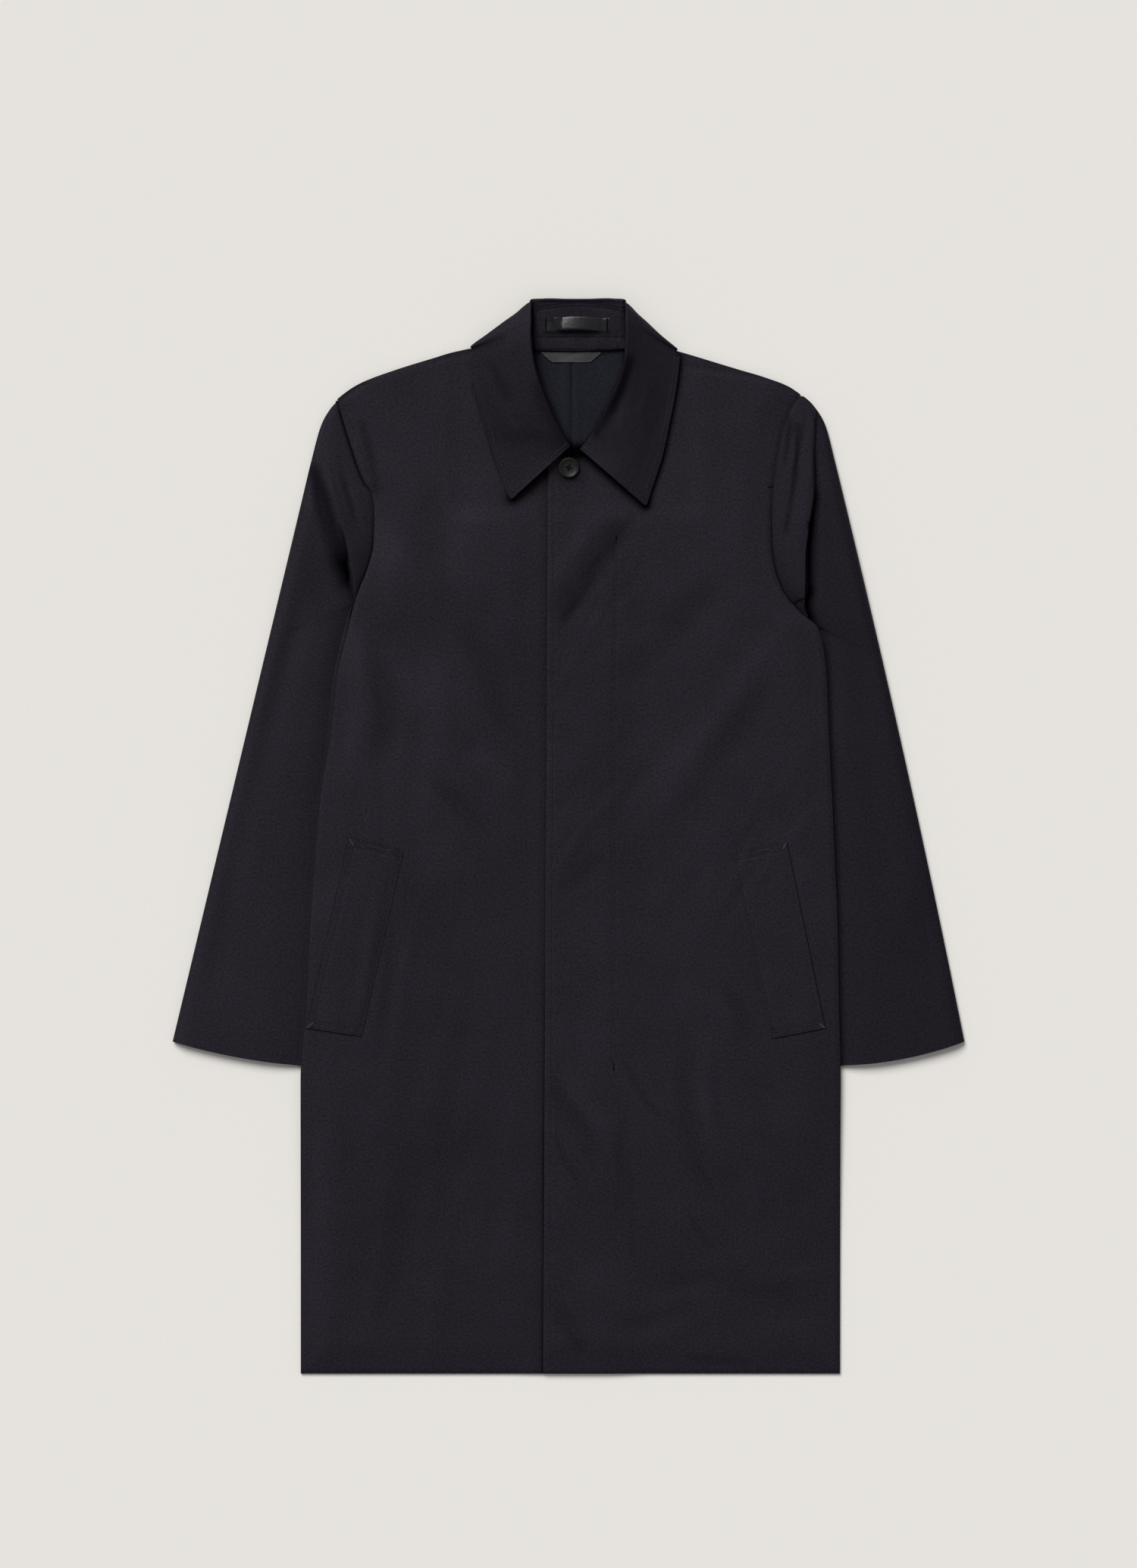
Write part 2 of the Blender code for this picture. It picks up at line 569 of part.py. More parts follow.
def lining_points(side):
    """Upper face of half the lining, which lies on the back inside the neckline."""
    rows = []
    for height in np.linspace(LINING_FOOT, LINING_TOP, LINING_ROWS):
        down = (NECK_POINT_HEIGHT - height) / NECK_DEPTH
        outer = side * (NECK_HALF[side] * math.sqrt(1.0 - down**2) - LINING_INSET)
        xs = np.linspace(side * SEAM / 2.0, outer, LINING_COLUMNS)
        rows.append([(x, height, CLOTH + SEAM + LINING_CLOTH) for x in xs])
    return np.array(rows)


def loop_points():
    """Upper face of the hanger loop: flat ends sewn to the stand, arched between them."""
    start, end = LOOP_SPAN
    rows = []
    for x in (start, *np.linspace(start + LOOP_END, end - LOOP_END, LOOP_STEPS), end):
        along = np.clip((x - start - LOOP_END) / (end - start - 2.0 * LOOP_END), 0.0, 1.0)
        arch = LOOP_ARCH * math.sin(math.pi * along) ** LOOP_ARCH_POWER if 0.0 < along < 1.0 else 0.0
        rows.append([(x, h, stand_top(h) + REST_GAP + TAPE + arch) for h in LOOP_HEIGHTS])
    return np.array(rows)


def label_points():
    """Upper face of the neck label, which hangs from the stand onto the lining."""
    low, high = LABEL_HEIGHTS
    corners = ((LABEL_TOP[0], high), (LABEL_TOP[1], high), (LABEL_FOOT[1], low), (LABEL_FOOT[0], low))
    level = CLOTH + SEAM + LINING_CLOTH + SEAM + TAPE
    return on_plan(patch(corners, 2, 1), lambda x, height: np.full_like(x, level))


def finish(name, colour, roughness, metallic=0.0):
    """A material for one piece."""
    material = bpy.data.materials.new(name)
    material.use_nodes = True
    shader = material.node_tree.nodes["Principled BSDF"]
    shader.inputs["Base Color"].default_value = (*colour, 1.0)
    shader.inputs["Roughness"].default_value = roughness
    shader.inputs["Metallic"].default_value = metallic
    return material


def cloth(name, points, thickness, look, collection, offset=-1.0):
    """A wall of cloth: a grid moved to points (rows of x, height, z of its upper face) with Solidify."""
    rows, columns = points.shape[:2]
    mesh = bpy.data.meshes.new(name)
    grid = bmesh.new()
    bmesh.ops.create_grid(grid, x_segments=columns - 1, y_segments=rows - 1, size=0.5)
    grid.verts.ensure_lookup_table()
    for vertex in grid.verts:
        column = round((vertex.co.x + 0.5) * (columns - 1))
        row = round((vertex.co.y + 0.5) * (rows - 1))
        x, height, z = points[row, column]
        vertex.co = (x * MM, (height - COAT_LENGTH / 2.0) * MM, z * MM)
    if sum(face.normal.z * face.calc_area() for face in updated_faces(grid)) < 0.0:
        bmesh.ops.reverse_faces(grid, faces=grid.faces)
    grid.to_mesh(mesh)
    grid.free()
    mesh.shade_smooth()
    mesh.set_sharp_from_angle(angle=math.radians(SHARP_ANGLE))
    piece = bpy.data.objects.new(name, mesh)
    piece.data.materials.append(finish(name, *look))
    collection.objects.link(piece)
    wall = piece.modifiers.new("wall", "SOLIDIFY")
    wall.thickness = thickness * MM
    wall.offset = offset
    return piece


def updated_faces(grid):
    """The faces of a bmesh with fresh normals."""
    grid.normal_update()
    return grid.faces


def make_button(collection, cutters):
    """The neck button: a turned disc with a raised rim and four holes."""
    mesh = bpy.data.meshes.new("neck_button")
    outline = bmesh.new()
    dots = [outline.verts.new((x * MM, 0.0, z * MM)) for _, x, z in BUTTON_PROFILE]
    for first, second in zip(dots, dots[1:]):
        outline.edges.new((first, second))
    outline.to_mesh(mesh)
    outline.free()
    button = bpy.data.objects.new("neck_button", mesh)
    button.data.materials.append(finish("neck_button", *HORN))
    collection.objects.link(button)
    x, height = BUTTON_PLACE
    z = float(front_top(1, np.array(x), np.array(height))) + BUTTON_SHANK
    button.location = (x * MM, (height - COAT_LENGTH / 2.0) * MM, z * MM)
    button.rotation_euler.z = math.radians(BUTTON_TURN)
    turned = button.modifiers.new("turned", "SCREW")
    turned.steps = turned.render_steps = BUTTON_STEPS
    turned.use_merge_vertices = True
    turned.merge_threshold = MERGE
    for number in range(BUTTON_HOLES):
        angle = 2.0 * math.pi * (number + 0.5) / BUTTON_HOLES
        bpy.ops.mesh.primitive_cylinder_add(
            vertices=BUTTON_HOLE_SIDES, radius=BUTTON_HOLE_RADIUS * MM, depth=BUTTON_HOLE_DEPTH * MM
        )
        hole = bpy.context.object
        hole.name = f"button_hole_{number + 1}"
        hole.parent = button
        across = BUTTON_HOLE_OFFSET * MM
        hole.location = (math.cos(angle) * across, math.sin(angle) * across, 0.0)
        hole.hide_render = True
        hole.display_type = "WIRE"
        for linked in list(hole.users_collection):
            linked.objects.unlink(hole)
        cutters.objects.link(hole)
        drilled = button.modifiers.new(hole.name, "BOOLEAN")
        drilled.object = hole
        drilled.operation = "DIFFERENCE"
    return button


def main():
    for item in list(bpy.data.objects):
        bpy.data.objects.remove(item)
    coat = bpy.data.collections.new("mackintosh")
    cutters = bpy.data.collections.new("cutters")
    bpy.context.scene.collection.children.link(coat)
    bpy.context.scene.collection.children.link(cutters)

    for side, name in SIDE_NAMES.items():
        cloth(f"under_sleeve_{name}", under_sleeve_points(side), CLOTH, COTTON, coat)
        cloth(f"top_sleeve_{name}", top_sleeve_points(side), CLOTH, COTTON, coat)
        cloth(f"back_{name}", on_plan(back_plan(side), back_top), CLOTH, COTTON, coat)
        front = on_plan(front_plan(side), lambda x, height, side=side: front_top(side, x, height))
        cloth(f"front_{name}", front, CLOTH, COTTON, coat)
        cloth(f"pocket_welt_{name}", welt_points(side), WELT_CLOTH, COTTON, coat)
        cloth(f"back_lining_{name}", lining_points(side), LINING_CLOTH, LINING, coat)
    cloth("collar_fall", fall_points(), COLLAR_CLOTH, COTTON, coat, offset=0.0)
    cloth("collar_stand", stand_points(), STAND_CLOTH, COTTON, coat, offset=0.0)
    cloth("hanger_loop", loop_points(), TAPE, SATIN, coat)
    cloth("neck_label", label_points(), TAPE, LABEL, coat)
    make_button(coat, cutters)


main()
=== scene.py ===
"""Looks of a fly-front mackintosh laid flat on its back, buttoned at the neck.

Tables are in millimetres. A point on the coat is (x, height): x towards the wearer's left, height up the
coat from its hem, and z above the surface it lies on. Each cloth piece follows the form of its solid.
"""

import logging
import math
from collections.abc import Callable, Sequence
from dataclasses import dataclass, replace
from enum import Enum
from functools import partial
from typing import Generic, TypeVar

import bpy
import numpy as np
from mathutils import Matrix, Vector, noise

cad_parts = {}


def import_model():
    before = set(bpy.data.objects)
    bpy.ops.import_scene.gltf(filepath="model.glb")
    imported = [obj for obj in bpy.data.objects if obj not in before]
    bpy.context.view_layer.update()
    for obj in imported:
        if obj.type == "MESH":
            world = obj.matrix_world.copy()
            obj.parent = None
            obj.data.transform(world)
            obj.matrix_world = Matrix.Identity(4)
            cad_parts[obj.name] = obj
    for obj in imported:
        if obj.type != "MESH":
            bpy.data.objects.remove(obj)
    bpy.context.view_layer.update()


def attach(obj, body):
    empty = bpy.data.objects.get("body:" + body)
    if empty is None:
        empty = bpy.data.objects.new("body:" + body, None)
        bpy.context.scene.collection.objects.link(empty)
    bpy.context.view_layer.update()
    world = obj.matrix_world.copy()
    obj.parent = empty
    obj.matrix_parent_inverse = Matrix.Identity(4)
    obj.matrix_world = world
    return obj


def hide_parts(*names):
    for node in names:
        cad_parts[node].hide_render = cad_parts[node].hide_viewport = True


LOG = logging.getLogger("mackintosh")

MM = 0.001
LENGTH = 1062.8
HALF_LENGTH = LENGTH / 2
ROOT = "root"
PAINTED_SHADE = "hollow"

Array = np.ndarray
Piece = bpy.types.Object
Node = bpy.types.Node
Tree = bpy.types.NodeTree
Point = tuple[float, float]
Path = Sequence[Point]
Surface = Callable[[Array, Array], Array]
Value = TypeVar("Value")


class Side(Enum):
    """The wearer's sides, with the sign of x on each."""

    RIGHT = -1
    LEFT = 1

    @property
    def label(self) -> str:
        """The side's name in lower case."""
        return self.name.lower()


@dataclass(frozen=True)
class Both(Generic[Value]):
    """One value for each of the wearer's sides."""

    right: Value
    left: Value

    def __getitem__(self, side: Side) -> Value:
        """The value for a side."""
        return self.right if side is Side.RIGHT else self.left


class Slot(Enum):
    """Material slots of the part's record."""

    CLOTH = "coat_cloth"
    LINING = "lining_cloth"
    LOOP = "loop_satin"
    LABEL = "label_satin"
    BUTTON = "button_horn"


def ease(value: Array | float) -> Array:
    """0 to 1 with a flat start and end."""
    share = np.clip(value, 0, 1)
    return share * share * (3 - 2 * share)


def arc(value: Array | float) -> Array:
    """0 to 1 along a quarter circle, steep at the start."""
    share = np.clip(value, 0, 1)
    return np.sqrt(1 - (1 - share) ** 2)


def bell(value: Array) -> Array:
    """1 at 0, fading smoothly on both sides."""
    return np.exp(-(value**2))


def unit(vector: Array) -> Array:
    """The same direction with a length of 1."""
    return vector / np.linalg.norm(vector)


def run_along(points: Array) -> Array:
    """Distance along a line of points to each of them."""
    lengths = np.linalg.norm(np.diff(points, axis=0), axis=1)
    return np.concatenate([[0], np.cumsum(lengths)])


def rows_of(kind: type[Value], *rows: tuple) -> tuple[Value, ...]:
    """A table's rows as sections or shades of one kind."""
    return tuple(kind(*row) for row in rows)


def smooth_read(table: Sequence[tuple], column: int, at: Array | float) -> Array:
    """A table's column on a smooth curve through its rows, without overshoot.

    Args:
        table: rows whose first column is the height.
        column: the column to read.
        at: heights to read it at.

    Returns:
        The values at those heights.
    """
    knots, values = np.array([(row[0], row[column]) for row in table], dtype=float).T
    slopes = np.diff(values) / np.diff(knots)
    tangents = np.zeros_like(values)
    before, after = slopes[:-1], slopes[1:]
    same_way = before * after > 0
    tangents[1:-1][same_way] = (2 * before * after)[same_way] / (before + after)[same_way]
    tangents[0], tangents[-1] = slopes[0], slopes[-1]
    place = np.clip(at, knots[0], knots[-1])
    index = np.clip(np.searchsorted(knots, place, side="right") - 1, 0, len(knots) - 2)
    gap = knots[index + 1] - knots[index]
    t = (place - knots[index]) / gap
    rise = t * t * (3 - 2 * t)
    start = tangents[index] * gap * t * (1 - t) ** 2
    end = tangents[index + 1] * gap * t * t * (t - 1)
    return values[index] * (1 - rise) + values[index + 1] * rise + start + end


def between(sections: Array, steps: int) -> Array:
    """More sections between the given ones, on a smooth curve through them.

    Args:
        sections: one section to each first index.
        steps: new sections for each gap.

    Returns:
        The finer list of sections.
    """
    last = len(sections) - 1
    finer = []
    for number in range(last * steps + 1):
        base = min(number // steps, last - 1)
        t = number / steps - base
        first, second = sections[base], sections[base + 1]
        start = (second - sections[max(base - 1, 0)]) / 2
        end = (sections[min(base + 2, last)] - first) / 2
        rise = t * t * (3 - 2 * t)
        finer.append(
            first * (1 - rise) + second * rise + start * t * (1 - t) ** 2 + end * t * t * (t - 1)
        )
    return np.array(finer)


def crumple(x: Array, height: Array, size: float, seed: float) -> Array:
    """Soft uneven waves, the same on every run.

    Args:
        x, height: places on the coat.
        size: distance between waves, in millimetres.
        seed: picks another pattern.

    Returns:
        Values of about -1 to 1.
    """
    spots = zip(np.ravel(x) / size, np.ravel(height) / size)
    values = [noise.noise(Vector((a, b, seed))) for a, b in spots]
    return np.array(values).reshape(np.shape(x))


def beside(path: Path, x: Array, height: Array) -> tuple[Array, Array]:
    """How far places lie from a path.

    Args:
        path: corner points of the path.
        x, height: places on the coat.

    Returns:
        The distance to the path, and how far along it the nearest point is.
    """
    away = np.full(np.shape(x), np.inf)
    along = np.zeros(np.shape(x))
    run = 0
    for (start_x, start_h), (end_x, end_h) in zip(path, path[1:]):
        way_x, way_h = end_x - start_x, end_h - start_h
        length = math.hypot(way_x, way_h)
        share = ((x - start_x) * way_x + (height - start_h) * way_h) / length**2
        share = np.clip(share, 0, 1)
        distance = np.hypot(x - start_x - share * way_x, height - start_h - share * way_h)
        nearer = distance < away
        away = np.where(nearer, distance, away)
        along = np.where(nearer, run + share * length, along)
        run += length
    return away, along


@dataclass(frozen=True)
class Fold:
    """A soft ridge, or a trough where the rise is below 0, that fades out past both ends of a line."""

    start: Point
    end: Point
    half_width: float
    rise: float

    def at(self, x: Array, height: Array) -> Array:
        """How far the fold lifts the cloth.

        Args:
            x, height: places on the coat.

        Returns:
            The rise at those places.
        """
        start_x, start_h = self.start
        way_x, way_h = self.end[0] - start_x, self.end[1] - start_h
        length = math.hypot(way_x, way_h)
        along = ((x - start_x) * way_x + (height - start_h) * way_h) / length**2
        aside = ((x - start_x) * way_h - (height - start_h) * way_x) / length
        width = self.half_width * (0.55 + 0.2 * np.clip(along, 0, 1))
        taper = ease((along + 0.2) / 0.55) * ease((1.2 - along) / 0.55)
        return self.rise * taper * bell(aside / width)


@dataclass(frozen=True)
class Shade:
    """Painted shade beside a line where a fold, seam or edge keeps light off; cut ends it sharply on one
    side.
    """

    path: Path
    reach: float
    dark: float
    cut: int = 0

    def at(self, x: Array, height: Array) -> Array:
        """How dark the shade is.

        Args:
            x, height: places on the coat.

        Returns:
            The shade at those places, 0 to 1.
        """
        away, _ = beside(self.path, x, height)
        shade = self.dark * bell(away / self.reach)
        if self.cut:
            rising = sorted((h, line_x) for line_x, h in self.path)
            line = np.interp(height, *zip(*rising))
            shade = np.where((x - line) * self.cut > 0, 0, shade)
        return shade


def shaded(shades: Sequence[Shade], x: Array, height: Array) -> Array:
    """Several painted shades over each other.

    Args:
        shades: the shades.
        x, height: places on the coat.

    Returns:
        The shade at those places, 0 to 1.
    """
    lit = np.ones(np.shape(x))
    for shade in shades:
        lit = lit * (1 - shade.at(x, height))
    return 1 - lit


@dataclass(frozen=True)
class DragLines:
    """A patch of fine uneven creases that run one way and fade out round its middle."""

    centre: Point
    reach: Point
    way: float
    apart: float
    length: float
    depth: float

    def at(self, x: Array, height: Array) -> Array:
        """How far the creases lift the cloth.

        Args:
            x, height: places on the coat.

        Returns:
            The rise at those places.
        """
        angle = math.radians(self.way)
        from_x, from_h = x - self.centre[0], height - self.centre[1]
        along = from_x * math.cos(angle) + from_h * math.sin(angle)
        aside = from_h * math.cos(angle) - from_x * math.sin(angle)
        patch = np.exp(-((along / self.reach[0]) ** 2) - (aside / self.reach[1]) ** 2)
        waves = crumple(along * self.apart / self.length, aside, self.apart, self.centre[1] * 0.013)
        return self.depth * patch * waves


@dataclass(frozen=True)
class Pressing:
    """How a row of stitches draws the cloth in: a narrow groove with small puckers beside it."""

    depth: float = 0.35
    half_width: float = 1.8
    pucker: float = 0.07
    pucker_reach: float = 6.0
    pucker_length: float = 13.0

    def at(self, path: Path, x: Array, height: Array) -> Array:
        """How far the stitching moves the cloth.

        Args:
            path: the row of stitches.
            x, height: places on the coat.

        Returns:
            The rise at those places.
        """
        away, along = beside(path, x, height)
        groove = -self.depth * bell(away / self.half_width)
        phase = 2 * math.pi * along / self.pucker_length
        uneven = np.sin(phase) + 0.7 * np.sin(phase * 0.618 + 1.3)
        return groove + self.pucker * uneven * bell(away / self.pucker_reach)


# Finishes


def linear(code: str) -> tuple[float, float, float, float]:
    """A linear colour from an sRGB hex code.

    Args:
        code: six hex digits.

    Returns:
        Linear red, green and blue with full alpha.
    """
    parts = [int(code[place : place + 2], 16) / 255 for place in (0, 2, 4)]
    light = [part / 12.92 if part <= 0.04045 else ((part + 0.055) / 1.055) ** 2.4 for part in parts]
    return (light[0], light[1], light[2], 1)


def set_inputs(tree: Tree, node: Node, inputs: dict) -> None:
    """Sets or links a node's inputs.

    Args:
        tree: the material's node tree.
        node: the node.
        inputs: socket names or numbers to values, to sockets, or to nodes whose first output feeds them.
    """
    for name, value in inputs.items():
        source = value.outputs[0] if isinstance(value, Node) else value
        if isinstance(source, bpy.types.NodeSocket):
            tree.links.new(source, node.inputs[name])
        else:
            node.inputs[name].default_value = source


def add_node(tree: Tree, kind: str, inputs: dict | None = None, **settings: object) -> Node:
    """Adds one node with its settings, values and links.

    Args:
        tree: the material's node tree.
        kind: the node's type name, past the words that all of them start with.
        inputs: values and links, as for set_inputs.
        **settings: properties of the node.

    Returns:
        The new node.
    """
    node = tree.nodes.new(f"ShaderNode{kind}")
    for name, value in settings.items():
        setattr(node, name, value)
    set_inputs(tree, node, inputs or {})
    return node


def per_mm(size: float) -> float:
    """A pattern's scale from the size of its marks in millimetres."""
    return 1 / (size * MM)


@dataclass(frozen=True)
class Finish:
    """A material by its real name, with its darkest and palest colour; subclasses wire the pattern."""

    name: str
    deep: str = "000000"
    pale: str = "ffffff"
    roughness: float = 0.6
    specular: float = 0.3

    def wire(self, tree: Tree, shader: Node) -> None:
        """Wires the pattern into the shader; a plain finish has none."""

    def ramp(self, tree: Tree, pattern: Node, low: float, high: float) -> Node:
        """Turns a pattern into the finish's colours.

        Args:
            tree: the material's node tree.
            pattern: the pattern's node.
            low: where the darkest colour ends.
            high: where the palest colour starts.

        Returns:
            The colour ramp.
        """
        node = add_node(tree, "ValToRGB", {"Fac": pattern})
        for element, place, code in zip(node.color_ramp.elements, (low, high), (self.deep, self.pale)):
            element.position = place
            element.color = linear(code)
        return node

    def surface(self, tree: Tree, shader: Node, colour: Node) -> None:
        """Gives the shader its colour, roughness and gleam."""
        values = {"Base Color": colour, "Roughness": self.roughness, "Specular IOR Level": self.specular}
        set_inputs(tree, shader, values)

    def material(self) -> bpy.types.Material:
        """The Blender material, made once.

        Returns:
            The material with its nodes.
        """
        known = bpy.data.materials.get(self.name)
        if known is not None:
            return known
        made = bpy.data.materials.new(self.name)
        made.use_nodes = True
        self.wire(made.node_tree, made.node_tree.nodes["Principled BSDF"])
        return made


@dataclass(frozen=True)
class WovenCloth(Finish):
    """Piece-dyed woven cloth: fine diagonal ribs, a grain of uneven dye and a broad dull gleam."""

    deep: str = "0d0b10"
    pale: str = "19151d"
    roughness: float = 0.66
    specular: float = 0.215
    gleam: str = "f1e8ff"
    gleam_range: tuple[float, float] = (0.48, 1.52)
    rib: float = 1.6
    rib_depth: float = 0.14
    slub: float = 2.4
    mottle: float = 60.0
    turn: float = 32.0

    def wire(self, tree: Tree, shader: Node) -> None:
        """Wires dye, painted shade, ribs and gleam.

        Args:
            tree: the material's node tree.
            shader: its shader.
        """
        cut = add_node(tree, "UVMap", uv_map="cut")
        turned = add_node(tree, "Mapping", {"Vector": cut, "Rotation": (0, 0, math.radians(self.turn))})
        grain = {"Vector": cut, "Detail": 4}
        fine = add_node(tree, "TexNoise", {**grain, "Scale": per_mm(self.slub), "Roughness": 0.8})
        broad = add_node(tree, "TexNoise", {**grain, "Scale": per_mm(self.mottle), "Roughness": 0.6})
        mixed = add_node(tree, "Math", {0: broad, 1: 0.35, 2: fine}, operation="MULTIPLY_ADD")
        dye = self.ramp(tree, mixed, 0.45, 0.9)
        # Painted shade: the hollow attribute darkens dye and gleam, so deep folds and seams stay darker
        # than the open studio light leaves them.
        hollow = add_node(tree, "Attribute", attribute_name=PAINTED_SHADE)
        lit = add_node(tree, "Math", {0: 1, 1: hollow.outputs["Fac"]}, operation="SUBTRACT")
        colour = add_node(tree, "VectorMath", {0: dye, "Scale": lit}, operation="SCALE")
        # The ribs of the real cloth are about 0.5 mm apart; drawn coarser so that they show.
        scale = per_mm(self.rib) / 20 * 2 * math.pi
        ribs = add_node(
            tree,
            "TexWave",
            {"Vector": turned, "Scale": scale, "Distortion": 1.6, "Detail": 2},
            wave_type="BANDS",
            bands_direction="X",
        )
        relief = add_node(tree, "Math", {0: ribs.outputs["Fac"], 1: 0.5, 2: fine}, operation="MULTIPLY_ADD")
        bump = add_node(tree, "Bump", {"Height": relief, "Strength": self.rib_depth, "Distance": 0.6 * MM})
        low, high = (share * self.specular for share in self.gleam_range)
        floats = add_node(tree, "MapRange", {"Value": fine, 1: 0.3, 2: 0.7, 3: low, 4: high})
        gleam = add_node(tree, "Math", {0: floats, 1: lit}, operation="MULTIPLY")
        self.surface(tree, shader, colour)
        links = {"Normal": bump, "Specular IOR Level": gleam, "Specular Tint": linear(self.gleam)}
        set_inputs(tree, shader, links)


@dataclass(frozen=True)
class SatinWeave(Finish):
    """Satin tape: long smooth floats that run along the tape and shine in a soft streak."""

    deep: str = "1b1a1d"
    pale: str = "2b2a2e"
    roughness: float = 0.3
    specular: float = 0.5
    thread: float = 0.5

    def wire(self, tree: Tree, shader: Node) -> None:
        """Wires the drawn-out floats.

        Args:
            tree: the material's node tree.
            shader: its shader.
        """
        cut = add_node(tree, "UVMap", uv_map="cut")
        drawn = add_node(tree, "Mapping", {"Vector": cut, "Scale": (1, 0.12, 1)})
        floats = add_node(tree, "TexNoise", {"Vector": drawn, "Scale": per_mm(self.thread), "Detail": 2})
        bump = add_node(tree, "Bump", {"Height": floats, "Strength": 0.25, "Distance": 0.15 * MM})
        self.surface(tree, shader, self.ramp(tree, floats, 0.3, 0.7))
        set_inputs(tree, shader, {"Normal": bump})


@dataclass(frozen=True)
class PolishedHorn(Finish):
    """Buffalo horn, turned and polished: dark brown-grey with paler streaks and a soft gloss."""

    deep: str = "0a0808"
    pale: str = "1c1918"
    roughness: float = 0.42
    specular: float = 0.22
    streak: float = 5.0
    streak_turn: float = 35.0

    def wire(self, tree: Tree, shader: Node) -> None:
        """Wires the streaks of the horn.

        Args:
            tree: the material's node tree.
            shader: its shader.
        """
        place = add_node(tree, "TexCoord").outputs["Object"]
        turn = (0, 0, math.radians(self.streak_turn))
        drawn = add_node(tree, "Mapping", {"Vector": place, "Rotation": turn, "Scale": (1, 0.3, 1)})
        grain = {"Vector": drawn, "Scale": per_mm(self.streak), "Detail": 5, "Roughness": 0.6}
        self.surface(tree, shader, self.ramp(tree, add_node(tree, "TexNoise", grain), 0.35, 0.72))


@dataclass(frozen=True)
class SewingThread(Finish):
    """Core-spun polyester thread: two twisted plies with a dull gleam."""

    deep: str = "2a2634"
    pale: str = "4a4557"
    ply: float = 0.8

    def wire(self, tree: Tree, shader: Node) -> None:
        """Wires the change of shade from stitch to stitch.

        Args:
            tree: the material's node tree.
            shader: its shader.
        """
        place = add_node(tree, "TexCoord").outputs["Object"]
        uneven = add_node(tree, "TexNoise", {"Vector": place, "Scale": per_mm(self.ply), "Detail": 1})
        self.surface(tree, shader, self.ramp(tree, uneven, 0.3, 0.7))


@dataclass(frozen=True)
class PaintedFloor(Finish):
    """Matt painted board under the coat: warm pale grey, even all over with a trace of roller texture."""

    deep: str = "e4e1dc"
    pale: str = "e6e3de"
    roughness: float = 1.0
    specular: float = 0.0
    grit: float = 2.5

    def wire(self, tree: Tree, shader: Node) -> None:
        """Wires the faint roller texture.

        Args:
            tree: the material's node tree.
            shader: its shader.
        """
        place = add_node(tree, "TexCoord").outputs["Object"]
        roller = add_node(tree, "TexNoise", {"Vector": place, "Scale": per_mm(self.grit)})
        self.surface(tree, shader, self.ramp(tree, roller, 0.3, 0.7))


GABARDINE = WovenCloth("navy_cotton_gabardine")
# Painted shade: a darker copy of the gabardine with less gleam for the collar; its ribs also run across.
SHADED_COLLAR_GABARDINE = WovenCloth(
    "navy_cotton_gabardine_shaded_collar", deep="0b090e", pale="16121a", specular=0.18, turn=110
)
# Painted shade: a darker, less gleaming copy of the gabardine for the left sleeve; its ribs turn too.
SHADED_SLEEVE_GABARDINE = WovenCloth(
    "navy_cotton_gabardine_shaded_left_sleeve", deep="0b090e", pale="16121a", specular=0.175, turn=60
)
LINING_TWILL = WovenCloth(
    "navy_lining_twill", deep="0c0c13", pale="15151d", specular=0.17, rib=1.3, mottle=25, gleam="e6e6ff"
)
LOOP_SATIN = SatinWeave("black_satin_tape", deep="100f12", pale="1c1b1f", specular=0.36)
LABEL_SATIN = SatinWeave("grey_satin_label", deep="19181a", pale="262528", roughness=0.42)
HORN = PolishedHorn("dark_buffalo_horn")
THREAD = SewingThread("navy_core_spun_thread")
# Near-black thread for tacks and the button, also used for the patches painted as shade in needle holes.
DARK_THREAD_AND_HOLE_SHADE = SewingThread(
    "black_thread_and_hole_shade", deep="08070a", pale="0f0d12", roughness=0.9, specular=0.09
)
STAND_THREAD = SewingThread("dark_quilting_thread", deep="18151d", pale="26222e", specular=0.15)
SILVER_THREAD = SewingThread("silver_selvedge_thread", deep="4c4b50", pale="6b6a70")
HOLE_THREAD = SewingThread("blue_buttonhole_thread", deep="0f1122", pale="1a1d36")
FLOOR = PaintedFloor("pale_painted_board")


# Mesh helpers

SHARP_EDGE = 50


def placed(points: Array) -> Array:
    """Points of the coat in the scene, in metres.

    Args:
        points: x, height and z in the last index.

    Returns:
        Scene points, one to a row.
    """
    flat = np.reshape(points, (-1, 3)) * MM
    flat[:, 1] -= HALF_LENGTH * MM
    return flat


def grid_faces(rows: int, columns: int, turned: bool) -> list[tuple[int, int, int, int]]:
    """Quads of a grid of points.

    Args:
        rows: points along.
        columns: points across.
        turned: whether to turn the faces over.

    Returns:
        Corner numbers of each face.
    """
    faces = []
    for row in range(rows - 1):
        for column in range(columns - 1):
            first = row * columns + column
            quad = (first, first + 1, first + columns + 1, first + columns)
            faces.append(quad[::-1] if turned else quad)
    return faces


def link(name: str, mesh: bpy.types.Mesh, finish: Finish) -> Piece:
    """A new object at the origin, alone selected and active.

    Args:
        name: the piece's name.
        mesh: its mesh.
        finish: its finish.

    Returns:
        The object.
    """
    mesh.materials.append(finish.material())
    piece = bpy.data.objects.new(name, mesh)
    bpy.context.scene.collection.objects.link(piece)
    bpy.ops.object.select_all(action="DESELECT")
    piece.select_set(True)
    bpy.context.view_layer.objects.active = piece
    return piece


def dress(piece: Piece, slot: Slot, *nodes: str) -> Piece:
    """Ties a piece to the coat's body and hides the solids it stands for.

    Args:
        piece: the piece.
        slot: its slot of the record; not used.
        *nodes: the solids it stands for.

    Returns:
        The piece.
    """
    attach(piece, ROOT)
    if nodes:
        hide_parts(*nodes)
    LOG.info("%s: %d faces", piece.name, len(piece.data.polygons))
    return piece


